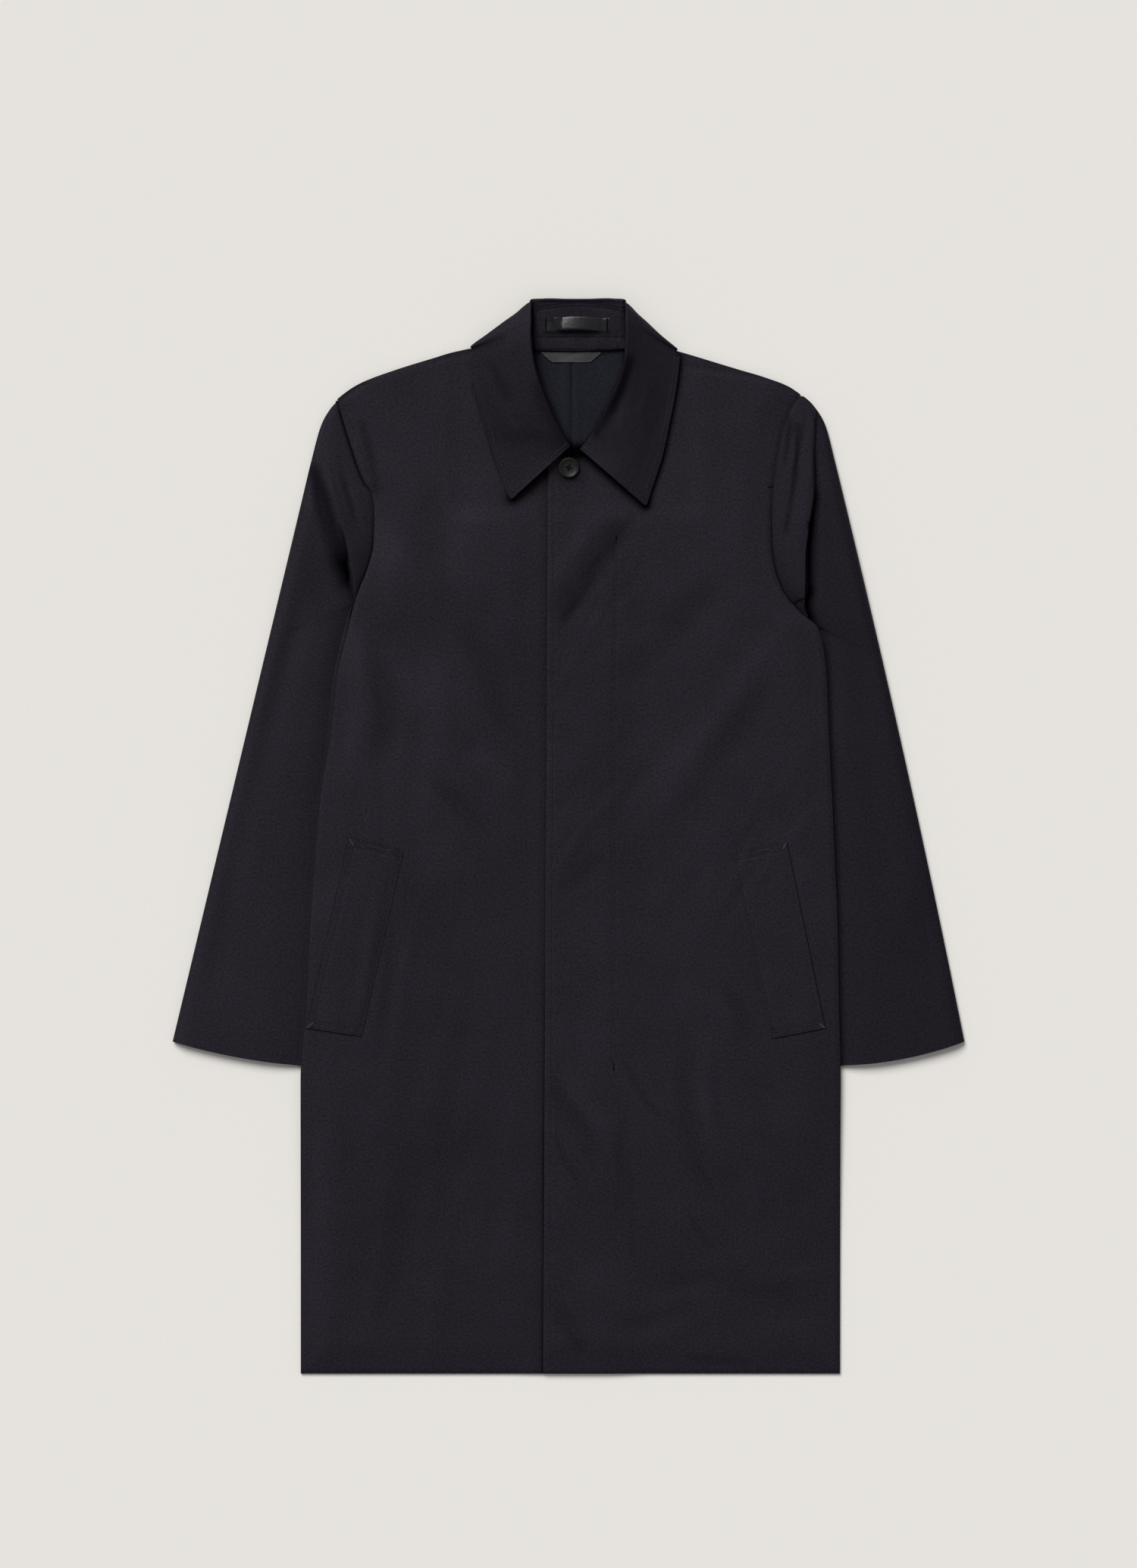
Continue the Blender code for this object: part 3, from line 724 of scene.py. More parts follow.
def cloth_sheet(
    node: str,
    points: Array,
    wall: float,
    finish: Finish,
    hollow: Array | None = None,
    slot: Slot = Slot.CLOTH,
    kind: str = "cloth",
) -> Piece:
    """A thin closed shell of cloth below a grid of points, with a UV map in metres of its cut.

    Args:
        node: the solid it stands for.
        points: rows and columns of x, height, z of the upper face.
        wall: thickness of the cloth.
        finish: its finish.
        hollow: how dark each point's colour is painted, as shade from a deep fold, seam or edge, 0 to 1.
        slot: its slot of the record.
        kind: the last word of the piece's name.

    Returns:
        The dressed piece.
    """
    name = f"{node}_{kind}"
    rows, columns = points.shape[:2]
    across = np.linalg.norm(np.diff(points, axis=1), axis=2)
    along = np.linalg.norm(np.diff(points, axis=0), axis=2)
    u = np.hstack([np.zeros((rows, 1)), np.cumsum(across, axis=1)]) * MM
    v = np.vstack([np.zeros((1, columns)), np.cumsum(along, axis=0)]) * MM
    way_across = points[:, 1:] - points[:, :-1]
    way_along = points[1:] - points[:-1]
    facing = np.cross(way_across[:-1], way_along[:, :-1])[..., 2].sum()
    mesh = bpy.data.meshes.new(name)
    mesh.from_pydata(placed(points).tolist(), [], grid_faces(rows, columns, facing < 0))
    layer = mesh.uv_layers.new(name="cut")
    corners = np.zeros(len(mesh.loops), dtype=np.int32)
    mesh.loops.foreach_get("vertex_index", corners)
    layer.data.foreach_set("uv", np.column_stack([u.ravel()[corners], v.ravel()[corners]]).ravel())
    if hollow is not None:
        shades = mesh.attributes.new(PAINTED_SHADE, "FLOAT", "POINT")
        shades.data.foreach_set("value", np.ravel(hollow).astype(np.float32))
    piece = link(name, mesh, finish)
    thick = piece.modifiers.new("wall", "SOLIDIFY")
    thick.thickness = wall * MM
    thick.offset = -1
    bpy.ops.object.modifier_apply(modifier=thick.name)
    bpy.ops.object.shade_smooth_by_angle(angle=math.radians(SHARP_EDGE))
    return dress(piece, slot, node)


@dataclass(frozen=True)
class Stitch:
    """One kind of stitch: spacing, thread size, turn from the row and its needle hole's painted shade."""

    pitch: float = 2.4
    length: float = 1.7
    width: float = 0.62
    height: float = 0.42
    turn: float = 0.0
    uneven: float = 0.12
    hole: float = 0.0


TOPSTITCH = Stitch(pitch=2.1, length=1.2, width=0.95, hole=0.7)
FINE_STITCH = Stitch(pitch=2, length=1.1, width=0.8, height=0.36, hole=0.6)
BAR_TACK = Stitch(pitch=0.55, length=2.1, width=0.5, height=0.45, turn=76)
PURL = Stitch(pitch=0.62, length=1.7, width=0.6, height=0.5, turn=90)

# One stitch as rings of six round a bent spindle: place along, girth, and sink of its ends
SPINDLE = ((-0.34, 0.8, 0.1), (0, 1, 0.35), (0.34, 0.8, 0.1))
SPINDLE_SIDES = 6
# Height of a needle hole's painted shade patch above the stitch's middle
HOLE_SHADE_CLEARANCE = 0.25
# How far before and after a stitch its direction is read
STITCH_REACH = 0.8


def spindle() -> tuple[Array, list[tuple[int, ...]]]:
    """A stitch of unit size.

    Returns:
        Its points (along, aside, up) and its faces.
    """
    dots = [(-0.5, 0, -0.35)]
    for along, girth, up in SPINDLE:
        for number in range(SPINDLE_SIDES):
            angle = 2 * math.pi * number / SPINDLE_SIDES
            dots.append((along, 0.5 * girth * math.cos(angle), up + 0.5 * girth * math.sin(angle)))
    dots.append((0.5, 0, -0.35))
    faces: list[tuple[int, ...]] = []
    last = len(dots) - 1
    for number in range(SPINDLE_SIDES):
        following = (number + 1) % SPINDLE_SIDES
        faces.append((0, 1 + following, 1 + number))
        for ring in range(len(SPINDLE) - 1):
            start = 1 + ring * SPINDLE_SIDES
            beyond = start + SPINDLE_SIDES
            faces.append((start + number, start + following, beyond + following, beyond + number))
        start = 1 + (len(SPINDLE) - 1) * SPINDLE_SIDES
        faces.append((start + number, start + following, last))
    return np.array(dots), faces


def on_surface(path: Path, surface: Surface, above: float = 0.0, step: float = 1.5) -> Array:
    """A path laid on a surface.

    Args:
        path: corner points of the path.
        surface: gives z at places on the coat.
        above: height over the surface.
        step: distance between points.

    Returns:
        Points x, height, z, one to a row.
    """
    corners = np.array(path, dtype=float)
    run = run_along(corners)
    places = np.linspace(0, run[-1], max(int(run[-1] / step), 2))
    x = np.interp(places, run, corners[:, 0])
    height = np.interp(places, run, corners[:, 1])
    return np.column_stack([x, height, surface(x, height) + above])


def surface_over(points: Array, clearance: float) -> Surface:
    """The surface through a grid of points.

    Args:
        points: rows and columns of x, height, z.
        clearance: height above the points.

    Returns:
        A function that gives z from the four nearest points.
    """
    spots = points.reshape(-1, 3)

    def surface(x: Array, height: Array) -> Array:
        """Reads the surface.

        Args:
            x, height: places on the coat.

        Returns:
            z there.
        """
        away = np.hypot(np.ravel(x)[:, None] - spots[:, 0], np.ravel(height)[:, None] - spots[:, 1])
        nearest = np.argpartition(away, 4, axis=1)[:, :4]
        weight = 1 / (np.take_along_axis(away, nearest, axis=1) + 0.05)
        z = (spots[nearest, 2] * weight).sum(axis=1) / weight.sum(axis=1)
        return z.reshape(np.shape(x)) + clearance

    return surface


def sew(
    name: str, rows: Sequence[tuple[Array, Stitch]], finish: Finish, slot: Slot = Slot.CLOTH
) -> Piece:
    """Rows of stitches joined into one piece.

    Args:
        name: the piece's name.
        rows: each row's points on the cloth and its kind of stitch.
        finish: the thread.
        slot: its slot of the record.

    Returns:
        The dressed piece.
    """
    form, form_faces = spindle()
    rim = np.radians(np.arange(SPINDLE_SIDES) * 360 / SPINDLE_SIDES)[:, None]
    chance = np.random.default_rng(7)
    dots: list[Array] = []
    faces: list[tuple[int, ...]] = []
    holes: list[Array] = []
    for line, kind in rows:
        run = run_along(line)
        for place in np.arange(kind.pitch / 2, run[-1], kind.pitch):
            spots = (place - STITCH_REACH, place + STITCH_REACH)
            before, after = np.column_stack([np.interp(spots, run, line[:, axis]) for axis in range(3)])
            way = unit(after - before)
            aside = np.cross((0, 0, 1), way)
            aside = unit(aside)
            up = np.cross(way, aside)
            angle = math.radians(kind.turn) + chance.normal(0, kind.uneven * 0.4)
            forward = way * math.cos(angle) + aside * math.sin(angle)
            across = np.cross(up, forward)
            centre = (after + before) / 2
            size = 1 + chance.normal(0, kind.uneven * 0.5)
            shape = (
                form[:, :1] * kind.length * size * forward
                + form[:, 1:2] * kind.width * across
                + form[:, 2:] * kind.height * up
            )
            first = len(dots) * len(form)
            dots.append(centre + shape)
            faces.extend(tuple(first + corner for corner in face) for face in form_faces)
            if kind.hole:
                middle = centre + way * kind.pitch / 2 + up * HOLE_SHADE_CLEARANCE
                holes.append(middle + kind.hole * (way * np.cos(rim) + aside * np.sin(rim)))
    threads = len(faces)
    base = len(dots) * len(form)
    for number in range(len(holes)):
        first = base + number * SPINDLE_SIDES
        faces.append(tuple(range(first, first + SPINDLE_SIDES)))
    spots = np.concatenate([np.concatenate(dots), *holes])
    mesh = bpy.data.meshes.new(name)
    mesh.from_pydata(placed(spots).tolist(), [], faces)
    mesh.shade_smooth()
    piece = link(name, mesh, finish)
    if holes:
        # Painted shade: a dark patch between the stitches stands for the shade in each needle hole.
        mesh.materials.append(DARK_THREAD_AND_HOLE_SHADE.material())
        mesh.polygons.foreach_set("material_index", [0] * threads + [1] * len(holes))
    return dress(piece, slot)


# The coat


@dataclass(frozen=True)
class CoatShape:
    """Sizes that the coat's pieces share, and where its layers lie."""

    cloth: float = 1.5
    wall: float = 1.1
    rest_gap: float = 0.4
    front_air: float = 1.5
    front_air_reach: float = 34.0
    edge_round: float = 4.5
    edge_drop: float = 1.1
    sleeve_lift: float = 4.0
    lift_full_across: float = 105.0
    lift_end_across: float = 175.0
    lift_below: Point = (225, 290)
    lift_above: Point = (757, 800)
    overlap: float = 20.4
    front_edge_lean: float = 4.8
    lap_full: float = 34.0
    lap_end: float = 84.0
    neck_half: Both[float] = Both(84.0, 88.0)
    neck_point_height: float = 1016.5
    neck_depth: float = 111.5
    back_neck_height: float = 1010.0
    yoke_height: float = 879.0
    edges: tuple[tuple[float, float, float], ...] = (
        (0, -264.8, 268.4), (115, -264.8, 268.5), (225, -264.8, 268.6), (290, -264.8, 268.9),
        (359, -259.2, 267.4), (436, -255.4, 266.1), (516, -249.8, 262.9), (574, -244.5, 260.3),
        (628, -235.5, 257.6), (693, -228, 254.8), (737, -217.5, 246.8), (751, -214.5, 231),
        (773, -207.8, 212.3), (798, -198, 203.3), (820.5, -192.8, 200.3), (850.5, -192, 200),
        (871, -194.8, 201.1), (880.5, -201.2, 202.1), (897.8, -208.6, 204.2), (915, -214.3, 207.5),
        (928, -218.6, 210.2), (945, -223.6, 215.6), (958, -227.2, 222.2), (963.8, -228.6, 226.7),
        (968.5, -229.8, 229.4),
    )
    tip_heights: Both[float] = Both(963.8, 968.5)
    shoulders: Both[Path] = Both(
        (
            *((-222, 969), (-210.8, 976.5), (-195, 984), (-174, 991.5)),
            *((-150.8, 999), (-130.5, 1005), (-115.5, 1009.5)),
        ),
        ((216.8, 976.5), (197.3, 984), (172.5, 991.5), (147.8, 999), (128.3, 1005), (113.3, 1009.5)),
    )

    def edge(self, side: Side, height: Array | float) -> Array:
        """x of the body's outer edge and armhole."""
        return smooth_read(self.edges, 1 if side is Side.RIGHT else 2, height)

    def lift(self, x: Array, height: Array, soften: float = 0.0) -> Array:
        """How far the sleeves under the body raise it off the floor.

        Args:
            x, height: places on the coat.
            soften: how much wider the slopes round the raised part are.

        Returns:
            The lift there.
        """
        right = x < 0
        edge = np.where(right, self.edge(Side.RIGHT, height), self.edge(Side.LEFT, height))
        inward = (edge - x) * np.where(right, -1, 1)
        end_across = self.lift_end_across + 0.35 * soften
        low, high = self.lift_below[0] - soften, self.lift_above[1] + soften
        across = ease((end_across - inward) / (end_across - self.lift_full_across))
        below = ease((height - low) / (self.lift_below[1] - low))
        above = ease((high - height) / (high - self.lift_above[0]))
        return self.sleeve_lift * across * below * above

    def shoulder(self, side: Side, along: Array) -> tuple[Array, Array]:
        """The shoulder line.

        Args:
            side: the wearer's side.
            along: 0 at the armhole tip to 1 at the neck point.

        Returns:
            x and height on the line.
        """
        tip_height = self.tip_heights[side]
        tip = (float(self.edge(side, tip_height)), tip_height)
        neck_point = (side.value * self.neck_half[side], self.neck_point_height)
        spots = np.array((tip, *self.shoulders[side], neck_point))
        run = run_along(spots)
        table = [(place / run[-1], *spot) for place, spot in zip(run, spots)]
        return smooth_read(table, 1, along), smooth_read(table, 2, along)

    def front_neck(self, side: Side, degrees: Array | float, scale: float = 1.0) -> tuple[Array, Array]:
        """The front neckline.

        Args:
            side: the wearer's side.
            degrees: 0 at the neck point to 90 at the centre front.
            scale: size of the curve.

        Returns:
            x and height on the curve.
        """
        angle = np.radians(degrees)
        x = side.value * self.neck_half[side] * scale * np.cos(angle)
        return x, self.neck_point_height - self.neck_depth * scale * np.sin(angle)

    def back_neck(self, side: Side, x: Array | float) -> Array:
        """Height of the back neck seam at x."""
        rise = self.neck_point_height - self.back_neck_height
        return self.back_neck_height + rise * (x / self.neck_half[side]) ** 2

    def front_edge(self, side: Side, height: Array | float) -> Array:
        """x of a front's own edge, past the centre by the overlap."""
        lean = self.front_edge_lean * (1 - np.clip(height / self.yoke_height, 0, 1))
        return -side.value * (self.overlap + lean)

    def panel(
        self, side: Side, top: Array, shares: Array, middle: Callable[[Array], Array], step: float
    ) -> Array:
        """Plan of a body panel from the hem to its top edge.

        Args:
            side: the wearer's side.
            top: x and height along the upper edge, from the armhole tip to the middle edge.
            shares: how far across each point of the top is, 0 to 1.
            middle: gives the middle edge's x.
            step: distance between rows.

        Returns:
            Rows and columns of x and height.
        """
        low = np.linspace(0, self.yoke_height, int(self.yoke_height / step))
        outer = self.edge(side, low)[:, None]
        inner = np.broadcast_to(middle(low), low.shape)[:, None]
        level = np.broadcast_to(low[:, None], (len(low), len(shares)))
        lower = np.stack([outer + (inner - outer) * shares, level], axis=2)
        yoke = lower[-1]
        tip_height = self.tip_heights[side]
        up = np.linspace(0, 1, int((tip_height - self.yoke_height) * 1.4 / step))[1:, None]
        heights = self.yoke_height + (tip_height - self.yoke_height) * up
        straight = yoke[0, 0] + (top[0, 0] - yoke[0, 0]) * up
        bulge = (self.edge(side, heights) - straight) * (1 - shares) ** 3
        upper_x = yoke[:, 0] + (top[:, 0] - yoke[:, 0]) * up + bulge
        upper_h = yoke[:, 1] + (top[:, 1] - yoke[:, 1]) * up
        return np.concatenate([lower, np.stack([upper_x, upper_h], axis=2)])

    def rounded_edge(self, inward: Array) -> Array:
        """How far a folded edge turns down, by the distance in from it."""
        return self.edge_drop * (arc(inward / self.edge_round) - 1)


@dataclass
class Backs:
    """The two halves of the back, flat on the floor and raised over the sleeves."""

    shape: CoatShape
    step: float = 7.0
    neck_share: float = 0.58
    # Painted shade on the back where little light reaches it through the neck's point.
    point_shade: Shade = Shade(((-6, 910), (24, 907)), 16, 0.97)

    def build(self) -> list[Piece]:
        """Builds both halves."""
        return [self.half(side) for side in Side]

    def half(self, side: Side) -> Piece:
        """Builds one half of the back.

        Args:
            side: the wearer's side.

        Returns:
            The piece.
        """
        shape = self.shape
        centre = side.value * 0.15
        along = np.linspace(0, 1, 24)
        shoulder = np.column_stack(shape.shoulder(side, along))
        across = np.linspace(0, 1, 16)[1:]
        neck_x = side.value * shape.neck_half[side] * (1 - across) + centre * across
        neck = np.column_stack([neck_x, shape.back_neck(side, neck_x)])
        shares = np.concatenate([self.neck_share * along, self.neck_share + (1 - self.neck_share) * across])
        top = np.vstack([shoulder, neck])
        plan = shape.panel(side, top, shares, lambda height: np.full_like(height, centre), self.step)
        x, height = plan[..., 0], plan[..., 1]
        points = np.dstack([x, height, shape.lift(x, height) + shape.cloth])
        hollow = self.point_shade.at(x, height)
        return cloth_sheet(f"back_{side.label}", points, shape.cloth, GABARDINE, hollow)


@dataclass
class Fronts:
    """The two fronts, the left one lapped over the right, with their stitching."""

    shape: CoatShape
    step: float = 2.9
    neck_share: float = 0.52
    placket_share: float = 0.9
    stitch_inset: float = 5.3
    stitch_clearance: float = 0.2
    lift_soften: float = 120.0
    fold_depth: float = 1.35
    fly_row: Path = ((47.2, 824.6), (45, 684), (44.6, 304))
    edge_row_top: float = 881.0
    collar_foot: Point = (838.0, 862.0)
    collar_middle: float = 6.0
    collar_half: Point = (110.0, 132.0)
    collar_air: float = 0.7
    shoulder_room: float = 40.0
    loose_reach: float = 25.0
    covered_from: Point = (-58.0, -32.0)
    covered_air: float = 0.6
    seam_groove: Point = (0.7, 1.8)
    edge_turn: Point = (0.8, 2.2)
    fold_wander: Point = (9.0, 70.0)
    waves: tuple[tuple[float, float, float], ...] = ((0.8, 85.0, 3.0), (0.35, 34.0, 6.0))
    pressing: Pressing = Pressing()
    armhole_rows: Both[Path] = Both(
        right=((-223.8, 958.5), (-213.8, 934.8), (-204, 907.8), (-196.5, 885.8), (-192, 872)),
        left=((219.5, 962.5), (210, 944.7), (202.6, 910.5), (198, 877)),
    )
    shoulder_seams: Both[Path] = Both(
        right=((-96, 1009), (-150, 999), (-192.8, 984), (-222, 966)),
        left=((112, 995.5), (160, 990), (201, 981.8), (222, 969)),
    )
    folds: Both[tuple[Fold | DragLines, ...]] = Both(
        right=(
            Fold((-184, 852), (-165, 774), 24, 0.4), Fold((-133, 880), (-128, 790), 20, -1.2),
            Fold((-108, 900), (-98, 780), 30, 1), Fold((-208, 745), (-206, 600), 26, 1.5),
            Fold((-128, 700), (-118, 560), 28, 1.4), Fold((-180, 700), (-187, 600), 20, -1.3),
            Fold((-104, 728), (-58, 646), 16, -1.1), Fold((-66, 655), (-34, 622), 12, -0.9),
            Fold((-130, 592), (-76, 530), 16, -1.2), Fold((-92, 612), (-52, 560), 20, 1.2),
            Fold((-172, 445), (-182, 330), 11, -0.8), Fold((-236, 244), (-243, 20), 28, 1.6),
            Fold((-150, 250), (-170, 60), 34, -0.8),
            DragLines((-120, 690), (190, 80), 118, 26, 120, 1.1),
            DragLines((-175, 640), (170, 45), 92, 18, 120, 0.9),
            DragLines((-180, 420), (110, 60), 82, 13, 60, 0.8),
            DragLines((-150, 150), (170, 90), 80, 22, 90, 0.7),
        ),
        left=(
            Fold((52, 842), (-8, 742), 20, -1.1), Fold((20, 836), (-18, 770), 16, 0.6),
            Fold((37, 511), (-11, 470), 14, -0.6), Fold((215, 742), (67, 534), 30, 0.6),
            Fold((195, 676), (80, 500), 24, -0.8), Fold((157, 789), (60, 684), 25, -1),
            Fold((157, 376), (180, 324), 12, -1), Fold((118, 330), (128, 180), 12, -0.9),
            Fold((136, 320), (150, 200), 14, 0.9), Fold((-12, 300), (22, 205), 10, -1.2),
            Fold((4, 300), (40, 216), 12, 1), Fold((52, 250), (58, 160), 12, -0.8),
            Fold((-16, 60), (18, 9), 10, -0.9), Fold((73, 96), (200, 70), 20, -0.45),
            DragLines((15, 760), (110, 34), 60, 12, 40, 0.5),
            DragLines((12, 560), (110, 32), 58, 12, 40, 0.45),
            DragLines((14, 250), (120, 36), -66, 11, 60, 0.6),
            DragLines((130, 640), (190, 70), 52, 22, 120, 0.65),
            DragLines((140, 250), (130, 70), -72, 15, 70, 0.6),
            DragLines((190, 520), (90, 40), 60, 12, 60, 0.55),
            DragLines((150, 60), (110, 40), 12, 18, 80, 0.8),
        ),
    )
    # Painted shade in troughs, painted highlight on ridges, painted shade beside the lap and along lines.
    trough_shade: float = 0.1
    deepest: float = 1.3
    lap_shade: tuple[tuple[float, float], ...] = ((1.3, 0.2), (8, 0.2))
    low_lap_shade: float = 0.45
    shades: Both[tuple[Shade, ...]] = Both(
        right=rows_of(
            Shade,
            (((-57, 865.5), (1.5, 916.5)), 6.5, 0.9),
            (((-57, 865.5), (-74.3, 909), (-94.5, 980.3)), 1.6, 0.5),
            (((-204, 938), (-194, 900), (-190, 872)), 5, 0.3),
            (((4, 910), (9, 908)), 7, 0.9),
        ),
        left=rows_of(
            Shade,
            (((75.8, 859.5), (11.6, 913.5)), 6.5, 0.9),
            (((75.8, 859.5), (92.3, 905.3), (107.3, 980.3), (109.5, 1005)), 4.2, 0.85),
            (((4, 910), (9, 908)), 7, 0.9),
            (((-0.6, 893.5), (1.6, 893.5)), 11, 0.75),
            (((50, 838), (22, 792), (-6, 748)), 9, 0.24),
            (((30, 807), (15, 789)), 2.5, 0.15),
            (((25.5, 787), (0, 751)), 3.5, 0.15),
            (((62, 850), (40, 812)), 4, 0.16),
            (((6, 762), (-12, 730)), 4, 0.12),
            (((-13, 236), (-6, 215), (7.5, 192)), 1.8, 0.28),
            (((60, 301), (75, 271), (90, 256)), 3, 0.14),
            (((60, 223), (63, 165), (62, 114)), 3, 0.1),
            (((127, 211), (142, 181)), 2.5, 0.15),
            (((116, 163), (127, 144), (142.5, 125)), 2.2, 0.16),
            (((120, 17), (176, 11)), 5, 0.15),
            (((-11, 54), (11, 28)), 3, 0.14),
            (((165, 100), (235, 70)), 14, 0.07),
        ),
    )

    def edge_row(self) -> Path:
        """The stitching beside the left front's edge, from the hem to the neck."""
        heights = (4, 300, 600, self.edge_row_top)
        return tuple((float(self.shape.front_edge(Side.LEFT, h)) + self.stitch_inset, h) for h in heights)

    def under_collar(self, x: Array, height: Array) -> Array:
        """How far places lie under the collar.

        Args:
            x, height: places on the coat.

        Returns:
            1 under the collar and near the neck, 0 away from it.
        """
        (low, high), (near, far) = self.collar_foot, self.collar_half
        aside = np.abs(x - self.collar_middle)
        return ease((height - low) / (high - low)) * ease((far - aside) / (far - near))

    def z(self, side: Side, x: Array, height: Array) -> Array:
        """Upper face of a front.

        Args:
            side: the wearer's side.
            x, height: places on the coat.

        Returns:
            z there.
        """
        shape = self.shape
        inward = np.minimum((shape.edge(side, height) - x) * side.value, height)
        shoulder_room = np.where(height > shape.yoke_height, self.shoulder_room, inward)
        inward = np.maximum(np.minimum(inward, shoulder_room), 0)
        collar = self.under_collar(x, height)
        air = shape.front_air * ease(inward / shape.front_air_reach)
        loose = (1 - collar) * ease(inward / self.loose_reach)
        relief = self.relief(side, x, height)
        if side is Side.RIGHT:
            start, end = self.covered_from
            covered = ease((x - start) / (end - start))
            loose = loose * (1 - covered)
            air = air * (1 - collar) + self.collar_air * collar
            air = air * (1 - covered) + self.covered_air * covered
            lap = 0
        else:
            air = air * (1 - 0.5 * collar)
            over = ease((shape.lap_end - x) / (shape.lap_end - shape.lap_full))
            lap = (shape.cloth + shape.rest_gap) * over
        z = shape.lift(x, height, self.lift_soften) + 2 * shape.cloth + shape.rest_gap
        z = z + air + lap + relief * loose
        z = z + shape.rounded_edge(inward)
        seam, _ = beside(self.shoulder_seams[side], x, height)
        depth, reach = self.seam_groove
        z = z - depth * bell(seam / reach)
        z = z + self.pressing.at(self.armhole_rows[side], x, height)
        if side is Side.LEFT:
            z = z + self.pressing.at(self.edge_row(), x, height)
            z = z + self.pressing.at(self.fly_row, x, height)
            own = x - shape.front_edge(side, height)
            depth, reach = self.edge_turn
            z = z + depth * (arc(own / reach) - 1)
        return z

    def relief(self, side: Side, x: Array, height: Array) -> Array:
        """Folds, creases and soft waves of a front.

        Args:
            side: the wearer's side.
            x, height: places on the coat.

        Returns:
            The rise there, where the cloth is free to lift.
        """
        depth, size = self.fold_wander
        warp = depth * crumple(x, height, size, 1.5)
        folds = sum(fold.at(x + warp, height + warp) for fold in self.folds[side])
        soft = sum(depth * crumple(x, height, size, seed + side.value) for depth, size, seed in self.waves)
        rise = self.fold_depth * folds + soft
        return np.where(rise < 0, self.deepest * np.tanh(rise / self.deepest), rise)

    def hollow(self, side: Side, x: Array, height: Array) -> Array:
        """Painted shade on a front: in its troughs, along its shade lines and beside the left one's edge.

        Args:
            side: the wearer's side.
            x, height: places on the coat.

        Returns:
            The shade there.
        """
        shade = np.clip(-self.trough_shade * self.relief(side, x, height), -0.1, 0.3)
        if side is Side.RIGHT:
            gap = np.maximum(self.shape.front_edge(Side.LEFT, height) - x, 0)
            shade = shade + sum(dark * bell(gap / reach) for reach, dark in self.lap_shade)
            shade = shade + self.low_lap_shade * ease((480 - height) / 260) * bell(gap / 1.4)
        return 1 - (1 - np.minimum(shade, 0.9)) * (1 - shaded(self.shades[side], x, height))

    def plan(self, side: Side) -> Array:
        """Plan of one front.

        Args:
            side: the wearer's side.

        Returns:
            Rows and columns of x, height between side seam, shoulder, neckline and front edge.
        """
        shape = self.shape
        along = np.linspace(0, 1, 48)
        shoulder = np.column_stack(shape.shoulder(side, along))
        turn = np.linspace(0, 90, 56)[1:]
        neck = np.column_stack(shape.front_neck(side, turn))
        to_edge = np.linspace(0, 1, 12)[1:]
        edge_x = float(shape.front_edge(side, shape.yoke_height)) * to_edge
        edge = np.column_stack([edge_x, np.full_like(edge_x, shape.neck_point_height - shape.neck_depth)])
        shares = np.concatenate(
            [
                self.neck_share * along,
                self.neck_share + (self.placket_share - self.neck_share) * turn / 90,
                self.placket_share + (1 - self.placket_share) * to_edge,
            ]
        )
        top = np.vstack([shoulder, neck, edge])
        return shape.panel(side, top, shares, lambda height: shape.front_edge(side, height), self.step)

    def build(self) -> list[Piece]:
        """Builds both fronts and their stitching.

        Returns:
            The pieces.
        """
        pieces = []
        for side in Side:
            plan = self.plan(side)
            x, height = plan[..., 0], plan[..., 1]
            points = np.dstack([plan, self.z(side, x, height)])
            hollow = self.hollow(side, x, height)
            pieces.append(cloth_sheet(f"front_{side.label}", points, self.shape.wall, GABARDINE, hollow))
            pieces.extend(self.stitching(side))
        return pieces

    def stitching(self, side: Side) -> list[Piece]:
        """Sews one front's rows.

        Args:
            side: the wearer's side.

        Returns:
            The rows of stitches and the bar tacks.
        """
        surface = partial(self.z, side)
        above = self.stitch_clearance
        armhole = self.armhole_rows[side]
        foot_x, foot_h = armhole[-1]
        tack = ((foot_x - 1.5, foot_h - 0.6), (foot_x + 1.5 + 2.5 * side.value, foot_h + 0.6))
        rows = [(on_surface(armhole, surface, above), FINE_STITCH)]
        tacks = [(on_surface(tack, surface, above), BAR_TACK)]
        if side is Side.LEFT:
            rows.append((on_surface(self.edge_row(), surface, above), TOPSTITCH))
            rows.append((on_surface(self.fly_row, surface, above), TOPSTITCH))
            for x, height in (self.fly_row[0], self.fly_row[-1]):
                end = ((x, height - 4.5), (x, height + 4.5))
                tacks.append((on_surface(end, surface, above), BAR_TACK))
        sewn = sew(f"front_{side.label}_stitching", rows, THREAD)
        return [sewn, sew(f"front_{side.label}_tacks", tacks, DARK_THREAD_AND_HOLE_SHADE)]


@dataclass(frozen=True)
class HeadRow:
    """One section through a sleeve head: seam and edge heights, pleat crest, loft and pleat depth."""

    seam: float
    outer: float
    crest_x: float
    crest_height: float
    loft: float
    rounding: float
    pleat: float
    tuck: float


@dataclass(frozen=True)
class ArmRow:
    """One section through a sleeve below the underarm."""

    outer: float
    body: float
    hidden: float
    loft: float


